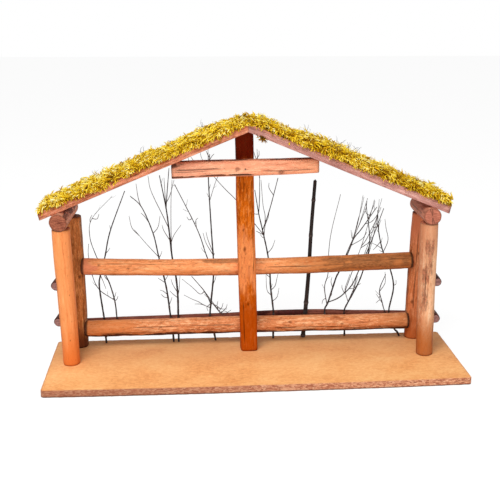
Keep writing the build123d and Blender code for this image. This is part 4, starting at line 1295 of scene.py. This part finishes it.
def moss():
    """Moss on both slopes, as thick and as ragged along each as the photograph shows."""
    left_swell = ((0, -4.0), (18, -2.6), (35, 2.2), (60, 0.6), (150, 0.2), (180, -1.0), (215, -2.8),
                  (265, -3.4))
    left_droop = ((0, 1.0), (30, 2.4), (50, 2.2), (68, 0.6), (80, 0.0), (104, -2.0), (116, 0.0), (156, 1.2),
                  (166, 5.6), (182, 5.8), (192, 2.0), (225, 2.0), (245, -1.6), (265, -2.0))
    right_swell = ((0, -4.0), (8, 1.0), (14, 4.4), (26, 3.4), (50, 3.2), (66, 5.6), (100, 7.4), (150, 5.8),
                   (185, 4.6), (225, 4.0), (265, 3.6))
    right_droop = ((0, -2.0), (20, -6.5), (48, -8.0), (70, -0.8), (84, -4.4), (100, -4.0), (118, -7.5),
                   (140, -4.4), (170, -6.5), (178, -1.6), (192, -3.2), (230, -4.2), (265, -4.4))
    left_wisps = 48, 128, 194
    right_wisps = 74, 116, 130, 139
    # The right slope's moss is painted darker than the left (0.46 against 0.51): painted shade, the left
    # slope being the lit one.
    for slope in (
        Moss(-1, "left_moss", left_slope_length, 201, 0.51, left_swell, left_droop, left_wisps),
        Moss(1, "right_moss", right_slope_length, 211, 0.46, right_swell, right_droop, right_wisps),
    ):
        slope.bed()
        slope.sprigs()
        slope.fringe()


# Twigs
twig_front = 64.5
twig_rear = 76.0
twig_slimness = 0.72
twig_foot_depth = 5
shoot_clearance = 1.0
shoot_step_back = 1.5
shoot_thickest = 0.5
shoot_thinnest = 0.26
shoot_look = {"step": 3.0, "sides": 5, "nodes": 7.0, "pale": 0.3}
first_shoot = 8.0
shoot_gap = 6, 15
lowest_shoot = 48

# Fine shoots, traced in the photograph: pixels across and down, from the stem to the tip
traced_shoots = {
    "twig_1": (
        ((113, 300), (115, 296), (116, 292)), ((114, 302), (117, 299), (118, 296)),
        ((100, 276), (103, 281), (106, 289)), ((108, 281), (105, 277), (103, 270)),
        ((91, 224), (90, 219), (92, 215)), ((94, 221), (97, 219), (99, 214))),
    "twig_2": (
        ((153, 233), (158, 227), (160, 216)), ((149, 222), (145, 217), (141, 213)),
        ((140, 205), (138, 197), (136, 184)), ((165, 282), (161, 280), (158, 278)),
        ((165, 280), (167, 277), (168, 274)), ((137, 237), (132, 228), (129, 216)),
        ((167, 294), (163, 291), (160, 290)), ((168, 298), (164, 297), (161, 294))),
    "twig_3": (
        ((171, 255), (171, 230), (171, 200), (172, 180)),
        ((167, 228), (161, 212), (155, 200), (150, 188), (148, 176)), ((166, 204), (170, 195), (174, 180)),
        ((169, 240), (164, 231), (162, 225)), ((171, 245), (174, 235), (181, 225)),
        ((176, 292), (173, 285), (171, 279)), ((177, 296), (179, 290), (180, 276)),
        ((165, 208), (165, 195), (164, 178)), ((176, 298), (173, 294), (170, 291))),
    "twig_4": (
        ((211, 302), (215, 306), (219, 311), (223, 316)), ((213, 304), (217, 306), (221, 309)),
        ((204, 290), (208, 296), (214, 304), (221, 313)), ((203, 290), (207, 296), (213, 304), (220, 313)),
        ((216, 307), (222, 309), (227, 309)), ((220, 313), (225, 311), (229, 314)),
        ((222, 314), (228, 315), (234, 313)), ((219, 311), (222, 307), (223, 303)),
        ((222, 315), (226, 308), (227, 304)), ((224, 316), (228, 312), (231, 310)),
        ((218, 310), (217, 305), (218, 301)), ((209, 304), (207, 307), (208, 311)),
        ((210, 307), (204, 305), (199, 302), (192, 299), (184, 295)), ((205, 304), (200, 304), (195, 304)),
        ((205, 292), (200, 294), (192, 287), (182, 279)), ((211, 255), (206, 243), (203, 233)),
        ((212, 252), (208, 240), (206, 232)), ((192, 219), (189, 220), (187, 217)),
        ((195, 225), (196, 220), (198, 218)), ((213, 285), (215, 280), (216, 276)),
        ((209, 166), (208, 155), (208, 147)), ((209, 160), (212, 156), (214, 154)),
        ((209, 157), (207, 153), (206, 151))),
    "twig_5": (
        ((262, 236), (250, 218), (236, 200), (226, 190), (216, 179), (208, 168), (202, 159), (200, 152)),
        ((206, 165), (196, 163), (191, 157)), ((199, 164), (190, 163), (188, 157)),
        ((259, 179), (258, 165), (257, 149)), ((258, 163), (255, 156), (254, 152)),
        ((257, 160), (259, 155), (259, 151)), ((263, 236), (265, 226), (268, 218), (269, 213)),
        ((265, 226), (265, 215), (263, 205), (261, 180)), ((262, 235), (258, 232), (256, 231)),
        ((270, 277), (267, 275), (265, 273)), ((268, 195), (269, 188), (269, 183)),
        ((271, 290), (275, 286), (277, 278), (278, 274)), ((271, 296), (267, 290), (266, 275)),
        ((272, 302), (277, 297), (279, 288)), ((267, 254), (272, 248), (275, 240)),
        ((258, 214), (255, 214), (253, 212))),
    "twig_6": (
        ((365, 224), (371, 222), (375, 218), (380, 210), (381, 207)),
        ((352, 243), (355, 232), (358, 220), (361, 210), (364, 197)),
        ((360, 229), (362, 218), (366, 208), (367, 201)),
        ((361, 247), (366, 240), (370, 232), (374, 224), (378, 216)),
        ((367, 218), (371, 212), (374, 205), (375, 201)), ((355, 247), (362, 239), (367, 232)),
        ((363, 250), (368, 243), (372, 237)), ((345, 300), (345, 290), (348, 280), (350, 274)),
        ((346, 306), (350, 297), (356, 283), (358, 276)), ((344, 294), (342, 288), (342, 285)),
        ((350, 290), (354, 288), (358, 284)), ((333, 288), (331, 282), (332, 277)),
        ((326, 298), (323, 300), (322, 304)), ((370, 236), (373, 231), (373, 226)),
        ((374, 228), (378, 226), (380, 222)), ((369, 215), (366, 213), (365, 209)),
        ((378, 226), (376, 222), (377, 217)), ((356, 240), (352, 238), (351, 230))),
    "twig_7": (
        ((383, 304), (379, 298), (376, 294)), ((381, 300), (378, 301), (376, 303)),
        ((380, 299), (380, 295), (379, 292)), ((389, 252), (388, 240), (386, 228), (385, 219)),
        ((379, 232), (379, 225), (381, 220)), ((383, 250), (378, 246), (372, 243)),
        ((381, 243), (376, 247), (373, 250)), ((383, 292), (385, 283), (385, 272)),
        ((394, 287), (396, 284), (396, 280))),
}


def tube(parts, path, radii, rng, step=2.5, sides=7, nodes=14.0, pale=0.0):
    """A tapering stem with slight joints a distance of nodes apart."""
    centres = smooth_path(path, step)
    travel = lengths_along(centres)
    given_at = lengths_along(np.asarray(path, float))
    radius = np.interp(travel / travel[-1], given_at / given_at[-1], radii)
    phase = rng.uniform(0, nodes)
    joint = np.exp(-(((travel + phase) % nodes - nodes / 2) / 1.6) ** 2)
    radius = radius * (1 + 0.22 * joint)
    side, up, along = frames(centres)
    flat = radius[:, None, None] * round_outline(1.0, sides)[None]
    points = around_path(centres, side, up, flat)
    grain = np.concatenate([flat, np.broadcast_to(travel[:, None, None], flat.shape[:2] + (1,))], axis=-1)
    rings = len(centres)
    last = np.arange(sides) + (rings - 1) * sides
    tris = np.column_stack([last, np.roll(last, -1), np.full(sides, rings * sides)])
    body = np.vstack([points.reshape(-1, 3), centres[-1] + along[-1] * radius[-1]])
    grain = np.vstack([grain.reshape(-1, 3), [(0, 0, travel[-1])]]) + rng.uniform(0, 300, 3)
    tone = np.repeat(np.append(0.2 + 0.5 * joint, 0.4) + pale, [sides] * rings + [1])
    parts.add(body, ring_faces(rings, sides), tris, grain=grain, tone=tone)
    return centres, along, radius


def shoots(parts, centres, along, radius, rng, chance=0.16, reach=(5, 11)):
    """Fine side shoots off a stem, turning upwards, kept below the roof."""
    spot = first_shoot
    travel = lengths_along(centres)
    hand = rng.choice((-1, 1))
    while spot < travel[-1]:
        k = min(np.searchsorted(travel, spot), len(centres) - 1)
        spot += rng.uniform(*shoot_gap)
        if centres[k, 2] < board_top + lowest_shoot or rng.random() > chance:
            continue
        hand = -hand
        size = rng.uniform(*reach) * (1.15 - 0.5 * travel[k] / travel[-1])
        lean = hand * rng.uniform(0.35, 0.8)
        way = along[k] * math.cos(lean) + np.cross(along[k], (0, 1, 0)) * math.sin(lean)
        way = way + np.array((0, rng.uniform(-0.12, 0.2), 0))
        bend = np.array((rng.uniform(-0.2, 0.2), 0, rng.uniform(0.05, 0.5)))
        path = [centres[k], centres[k] + way * size * 0.5, centres[k] + way * size + bend * size * 0.45]
        path = [np.array((x, np.clip(y, twig_front, twig_rear), min(z, roof_under(x) - shoot_clearance)))
                for x, y, z in path]
        if path[2][2] < path[1][2] + 0.5:
            continue
        thick = min(shoot_thickest, radius[k] * 0.5)
        tube(parts, path, (thick, thick * 0.8, thick * 0.5), rng, **shoot_look)


def traced_shoot(parts, line, grown, row, rng):
    """A fine shoot on a traced line, started on the nearest grown stem, stepping back as it goes."""
    first = in_photo(*line[0], row)
    joints = np.vstack(grown)
    joint = joints[np.argmin(np.hypot(joints[:, 0] - first[0], joints[:, 2] - first[2]))]
    spots = np.array([in_photo(*pixel, joint[1] + shoot_step_back * k) for k, pixel in enumerate(line)])
    spots[:, 1] = np.minimum(spots[:, 1], twig_rear)
    spots[:, 2] = np.minimum(spots[:, 2], roof_under(spots[:, 0]) - shoot_clearance)
    radii = np.linspace(shoot_thickest, shoot_thinnest, len(spots))
    return tube(parts, [joint, *spots[1:]], radii, rng, **shoot_look)[0]


def twig_stems(row):
    """Foot and stems of each twig, as in the CAD: a stem is points of (across from the foot, depth, height
    over the board, radius)."""
    back, far = row + 3.0, row + 5.4
    rear_left = post_axis("rear_left_post", -1)[0]
    rear_right = post_axis("rear_right_post", 1)[0]
    span = rear_right[0] - rear_left[0]

    def foot(share, set_forward):
        return rear_left[0] + span * share, row - set_forward

    near_right_post = (rear_right[0] - post_radius - 4.0, row - 6.5)
    return {
        "twig_1": (foot(0.075, 2.5), (
            ((-2, row, 22, 1.6), (-2, row, 33, 1.5), (-6, row, 76, 1.4), (-4, row, 92, 1.3),
             (3, row, 117, 1.2), (11, row, 150, 1.0), (31, row, 201, 0.7)),
            ((0, row - 1.5, 8, 1.0), (13, row, 26, 1.2), (14, row, 40, 1.2), (12, back, 58, 1.2),
             (7, back, 79, 1.1), (2, back, 92, 0.9), (-9, back, 119, 0.7), (-15, back, 143, 0.6),
             (-11, back, 166, 0.4), (15, back, 194, 0.3)),
            ((12, back, 57, 0.7), (-6, back, 71, 0.7), (-14, back, 89, 0.6), (-18, back, 117, 0.5),
             (-17, back, 133, 0.4)))),
        "twig_2": (foot(0.276, 5.0), (
            ((-2, row, 20, 1.7), (-4, row, 35, 1.6), (-7, row, 64, 1.5), (-10, row, 83, 1.4),
             (-17, row, 116, 1.2), (-23, row, 146, 1.0), (-36, row, 180, 0.8), (-50, back, 194, 0.6)),
            ((-17, row, 115, 0.6), (-33, row, 134, 0.45), (-46, row, 151, 0.35)))),
        "twig_3": (foot(0.29, 5.5), (
            ((0, row, 20, 1.8), (0, row, 35, 1.8), (0, row, 64, 1.7), (-2, row, 90, 1.6),
             (-6, row, 115, 1.5), (-9, row, 150, 1.3), (-12, row, 179, 1.1), (-19, row, 220, 0.7)),
            ((-12, row, 178, 0.9), (-10, row, 200, 0.8), (-7, row, 229, 0.6)))),
        "twig_4": (foot(0.4035, 4.0), (
            ((-5, row, 20, 1.7), (-8, row, 34, 1.6), (-6, row, 57, 1.6), (-3, row, 88, 1.4),
             (-3, row, 114, 1.3), (-5, row, 149, 1.2), (-8, row, 219, 0.9), (-6, row, 246, 0.6)),
            ((-3, row, 92, 1.0), (-12, back, 116, 0.9), (-23, back, 150, 0.8), (-50, back, 208, 0.6)),
            ((-7, row, 50, 1.0), (-14, back, 65, 0.8), (-31, back, 87, 0.6)),
            ((-7, row, 186, 0.5), (3, row, 216, 0.4), (14, row, 229, 0.3)))),
        "twig_5": (foot(0.576, 1.0), (
            ((0, row, 20, 1.7), (0, row, 37, 1.6), (-4, row, 71, 1.5), (-5, row, 89, 1.4),
             (-8, row, 115, 1.3), (-15, row, 148, 1.1), (-20, row, 170, 0.9), (-25, row, 200, 0.6)),
            ((-20, row, 169, 0.7), (-19, row, 190, 0.7), (-19, row, 215, 0.5)),
            ((-15, row, 147, 0.9), (-6, row, 175, 0.8), (4, row, 215, 0.6)))),
        "twig_6": (foot(0.7965, -1.5), (
            ((-1, row, 18, 1.5), (-2, row, 35, 1.4), (2, row, 46, 1.3), (8, row, 58, 1.3),
             (17, row, 78, 1.2), (24, row, 103, 1.1), (28, row, 132, 0.9), (21, row, 181, 0.6)),
            ((0, row, 9, 1.2), (-24, row, 26, 1.5), (-28, row, 38, 1.5), (-23, back, 48, 1.5),
             (-14, back, 80, 1.4), (-10, back, 89, 1.3), (1, back, 115, 1.2), (8, back, 134, 1.0),
             (17, back, 146, 0.9), (36, back, 175, 0.6)),
            ((-23, back, 47, 1.0), (-11, back, 52, 1.1), (-2, back, 59, 1.1), (8, back, 71, 1.0),
             (16, back, 90, 1.0), (26, back, 116, 0.9), (35, back, 142, 0.8), (45, back, 173, 0.6)),
            ((-25, row + 1.5, 44, 0.9), (-29, row, 69, 0.8), (-25, row, 88, 0.7), (-25, row, 116, 0.6),
             (-22, row, 146, 0.5), (-12, row, 193, 0.4)),
            ((-10, back, 89, 0.7), (2, far, 120, 0.6), (14, far, 150, 0.5), (24, far, 186, 0.4)),
            ((-2, back, 59, 0.7), (10, far, 95, 0.6), (22, far, 135, 0.5), (33, far, 184, 0.4)),
            ((8, row, 58, 0.7), (16, back, 92, 0.6), (30, back, 136, 0.5), (42, back, 186, 0.35)),
            ((1, back, 115, 0.6), (12, far, 150, 0.5), (18, far, 190, 0.35)),
            ((17, row, 78, 0.6), (29, row, 120, 0.5), (36, row, 160, 0.4), (38, row, 186, 0.3)))),
        "twig_7": (near_right_post, (
            ((-4, row - 4.5, 5, 1.7), (-8, row - 2.5, 9, 1.6), (-13, row, 20, 1.5), (-16, row, 35, 1.4),
             (-10, far, 65, 1.3), (-16, far, 91, 1.2), (-27, far, 116, 1.1), (-34, far, 145, 0.9),
             (-36, far, 170, 0.6)),
            ((-13, row, 19, 1.0), (-22, row, 35, 0.9), (-25, back, 46, 0.9), (-29, back, 63, 0.8),
             (-22, back, 84, 0.6)))),
    }


def twigs():
    """Bare twigs standing in the board behind the rails, on the CAD stems' lines."""
    row = box("upper_rail")[1][1] + 0.4 + twig_radius
    for seed, (node, (place, stems)) in enumerate(twig_stems(row).items(), 301):
        rng = np.random.default_rng(seed)
        parts = Parts()
        grown = []
        for order, stem in enumerate(stems):
            path = [(place[0] + dx, y, board_top + z) for dx, y, z, _ in stem]
            radii = [radius * twig_slimness for *_, radius in stem]
            if order == 0:
                path.insert(0, (place[0], place[1], board_top - twig_foot_depth))
                radii.insert(0, twig_radius * twig_slimness)
            made = tube(parts, path, radii, rng, pale=0.12 * min(order, 3))
            grown.append(made[0])
            shoots(parts, *made, rng)
        for line in traced_shoots[node]:
            grown.append(traced_shoot(parts, line, grown, row, rng))
        parts.piece(node + "_wood", twig_skin, (node,), "dark_twig")


def thick_stick():
    """The one thick bare stick behind the rails."""
    low, high = box("thick_stick")
    middle = (low[1] + high[1]) / 2
    foot_x = low[0] + thick_stick_radius
    bends = (0, -twig_foot_depth), (3, 39), (6, 90), (8, 147)
    path = [(foot_x + dx, middle, board_top + z) for dx, z in bends]
    tip_radius, tip_drop = 2.2, 1.5
    path.append((high[0] - tip_radius, middle, high[2] - tip_drop))
    radii = thick_stick_radius, thick_stick_radius, 2.6, 2.4, tip_radius
    parts = Parts()
    tube(parts, path, radii, np.random.default_rng(331), sides=18, nodes=46.0)
    parts.piece("thick_stick_wood", twig_skin, ("thick_stick",), "dark_twig")


# Base board
board_half_width = (board_high[0] - board_low[0]) / 2
edge_levels = np.array((0.0, 0.5, 1.6, 3.0, 4.4, 5.8, 7.2, 8.3, 8.75, 9.0)) * board_top / 9.0
edge_insets = 0.6, 0.15, 0, 0, 0, 0, 0, 0.05, 0.2, 0.55
edge_spacing = 1.3
top_edge_level = 7
top_rim = 3.0
lowest_edge, edge_below_top, border_edge = 0.2, 0.1, 0.45


def board_ring():
    """Closed outline of the board, with round corners and a bowed front."""
    front, rear = board_low[1] + board_bow, board_high[1]
    side, rear_y, front_y = board_half_width - board_corner, rear - board_corner, front + board_corner
    outline = []
    for x, y, first in ((side, rear_y, 0), (-side, rear_y, 90), (-side, front_y, 180), (side, front_y, 270)):
        for turn in np.linspace(first, first + 90, 8):
            turn = math.radians(turn)
            outline.append((x + board_corner * math.cos(turn), y + board_corner * math.sin(turn)))
    outline = np.array(outline + outline[:1])
    ring = []
    for here, there in zip(outline, outline[1:]):
        count = max(1, int(np.linalg.norm(there - here) / edge_spacing))
        ring.extend(here + (there - here) * t for t in np.linspace(0, 1, count, endpoint=False))
    ring = np.array(ring)
    bow = board_bow * (1 - (ring[:, 0] / board_half_width) ** 2)
    ring[:, 1] -= np.where(ring[:, 1] < front_y, bow, 0)
    return ring


def crumbled(here, level):
    """How far each point of the edge is broken away at a level; the short sides less."""
    crumble = 0.3 * rough(here, (4.5, 4.5, 2.2), 401) + 0.25 * np.clip(rough(here, (9, 9, 3), 405), 0.2, 1)
    chipped = np.clip(rough(here, (14, 14, 50), 409) - 0.35, 0, 1) * (0.9 if level > top_edge_level else 0.3)
    calm = np.where(abs(here[:, 0]) > board_half_width - 1, 0.35, 1.0)
    return calm * np.clip(0.15 + crumble + chipped, 0, 1.2)


def base():
    """Chipboard with a hand-sawn, crumbling edge: rings of points round the outline, then the flat faces."""
    ring = board_ring()
    around = len(ring)
    way = np.roll(ring, -1, axis=0) - np.roll(ring, 1, axis=0)
    outward = np.column_stack([way[:, 1], -way[:, 0]]) / np.linalg.norm(way, axis=1)[:, None]
    spots, edges, depths = [], [], []
    for level, inset in zip(edge_levels, edge_insets):
        here = np.column_stack([ring, np.full(around, level)])
        move = -inset - crumbled(here, level)
        spots.append(np.column_stack([ring + outward * move[:, None], here[:, 2]]))
        sawn = lowest_edge < level < board_top - edge_below_top
        edges.append(np.full(around, 1.0 if sawn else border_edge))
        depths.append(np.full(around, 1 - level / board_top))
    spots.append(np.column_stack([ring - outward * top_rim, np.full(around, board_top)]))
    edges.append(np.zeros(around))
    depths.append(np.zeros(around))
    points = np.vstack(spots)
    parts = Parts()
    parts.add(points, ring_faces(len(spots), around), grain=points,
              edge=np.concatenate(edges), depth=np.concatenate(depths))
    made = parts.piece("base_board_wood", chipboard(), ("base_board",), "chipboard")
    fill_faces(made, (len(spots) - 1) * around + np.arange(around), np.arange(around)[::-1])


def fill_faces(piece, *loops):
    """Adds a flat face over each closed loop of points."""
    mesh = bmesh.new()
    mesh.from_mesh(piece.data)
    mesh.verts.ensure_lookup_table()
    for loop in loops:
        mesh.faces.new([mesh.verts[k] for k in loop]).smooth = False
    mesh.to_mesh(piece.data)
    mesh.free()


def nails():
    """Worn steel for the brads, which stay as the CAD makes them."""
    for node in ("base_nails", "purlin_nails", "roof_nails", "rail_nails", "side_rail_nails",
                 "twig_rail_nails", "collar_nail"):
        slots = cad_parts[node].data.materials
        slots.clear()
        slots.append(steel)


# The picture
world_light = 0.36
floor_reach = 6.0
floor_level = -0.0003
floor_colour = 0.9, 0.9, 0.9, 1
floor_glow = 1.10
floor_glow_share = 0.82


def set_up(made, right, up, back, place):
    """Turns and places an object that looks along its own -Z."""
    turn = np.eye(4)
    turn[:3] = np.column_stack([right, up, back, place])
    made.matrix_world = Matrix(turn.tolist())


def camera():
    """The photograph's viewpoint."""
    data = bpy.data.cameras.new("camera")
    data.sensor_width = 36.0
    data.lens = data.sensor_width * focal_pixels / picture_pixels
    data.clip_start, data.clip_end = 0.01, 20
    made = in_scene("camera", data)
    set_up(made, view_right, view_up, -view_forward, camera_place * MM)
    bpy.context.scene.camera = made


def lamp(name, place, target, size, power):
    """A square soft lamp aimed at a point."""
    data = bpy.data.lights.new(name, "AREA")
    data.size = size
    data.energy = power
    way = np.array(target, float) - np.array(place, float)
    back = -way / np.linalg.norm(way)
    side = np.cross((0, 0, 1), back)
    side /= np.linalg.norm(side)
    set_up(in_scene(name, data), side, np.cross(back, side), back, place)


def tree_math(tree, operation, first, second):
    """Joins an output with another output or a number."""
    made = tree.nodes.new("ShaderNodeMath")
    made.operation = operation
    tree.links.new(first, made.inputs[0])
    if isinstance(second, bpy.types.NodeSocket):
        tree.links.new(second, made.inputs[1])
    else:
        made.inputs[1].default_value = second
    return made.outputs[0]


def background_share(tree):
    """1 for what the camera, mirrors and glass see, 0 for what lights the object."""
    path = tree.nodes.new("ShaderNodeLightPath").outputs
    total = tree_math(tree, "MAXIMUM", path["Is Camera Ray"], path["Is Glossy Ray"])
    return tree_math(tree, "MAXIMUM", total, path["Is Transmission Ray"])


def choose(tree, share, first, second, output):
    """Mixes two shaders into a tree's output."""
    mixed = tree.nodes.new("ShaderNodeMixShader")
    tree.links.new(share, mixed.inputs[0])
    tree.links.new(first.outputs[0], mixed.inputs[1])
    tree.links.new(second.outputs[0], mixed.inputs[2])
    tree.links.new(mixed.outputs[0], tree.nodes[output].inputs["Surface"])


def white_world():
    """White behind the object, and a weaker white light on it."""
    world = bpy.data.worlds.new("studio")
    bpy.context.scene.world = world
    world.use_nodes = True
    tree = world.node_tree
    light = tree.nodes["Background"]
    seen = tree.nodes.new("ShaderNodeBackground")
    for background, strength in ((light, world_light), (seen, 1.0)):
        background.inputs["Color"].default_value = (1, 1, 1, 1)
        background.inputs["Strength"].default_value = strength
    choose(tree, background_share(tree), light, seen, "World Output")


def pale_floor():
    """A floor that looks white but keeps a soft shadow."""
    mesh = bpy.data.meshes.new("floor")
    corners = (-1, -1), (1, -1), (1, 1), (-1, 1)
    points = [(x * floor_reach, y * floor_reach, floor_level) for x, y in corners]
    mesh.from_pydata(points, [], [(0, 1, 2, 3)])
    floor = in_scene("floor", mesh)
    look = Shader("pale_floor", 0.9, 0.0)
    look.surface.inputs["Base Color"].default_value = floor_colour
    glow = look.node("Emission", {"Strength": floor_glow})
    share = tree_math(look.tree, "MULTIPLY", background_share(look.tree), floor_glow_share)
    choose(look.tree, share, look.surface, glow, "Material Output")
    mesh.materials.append(look.material)


def studio():
    """White surroundings and two big soft lamps."""
    white_world()
    pale_floor()
    lamp("key", (-0.5, -1.0, 1.8), (0, 0, 0.1), 0.9, 30)
    lamp("fill", (0.2, -2.0, 0.7), (0, 0, 0.12), 1.2, 13)
    bpy.context.scene.view_settings.view_transform = "Standard"


camera()
studio()
base()
corner_posts()
middle_post()
back_rails()
twig_stick()
collar()
purlins()
side_rails()
roof_boards()
moss()
twigs()
thick_stick()
nails()
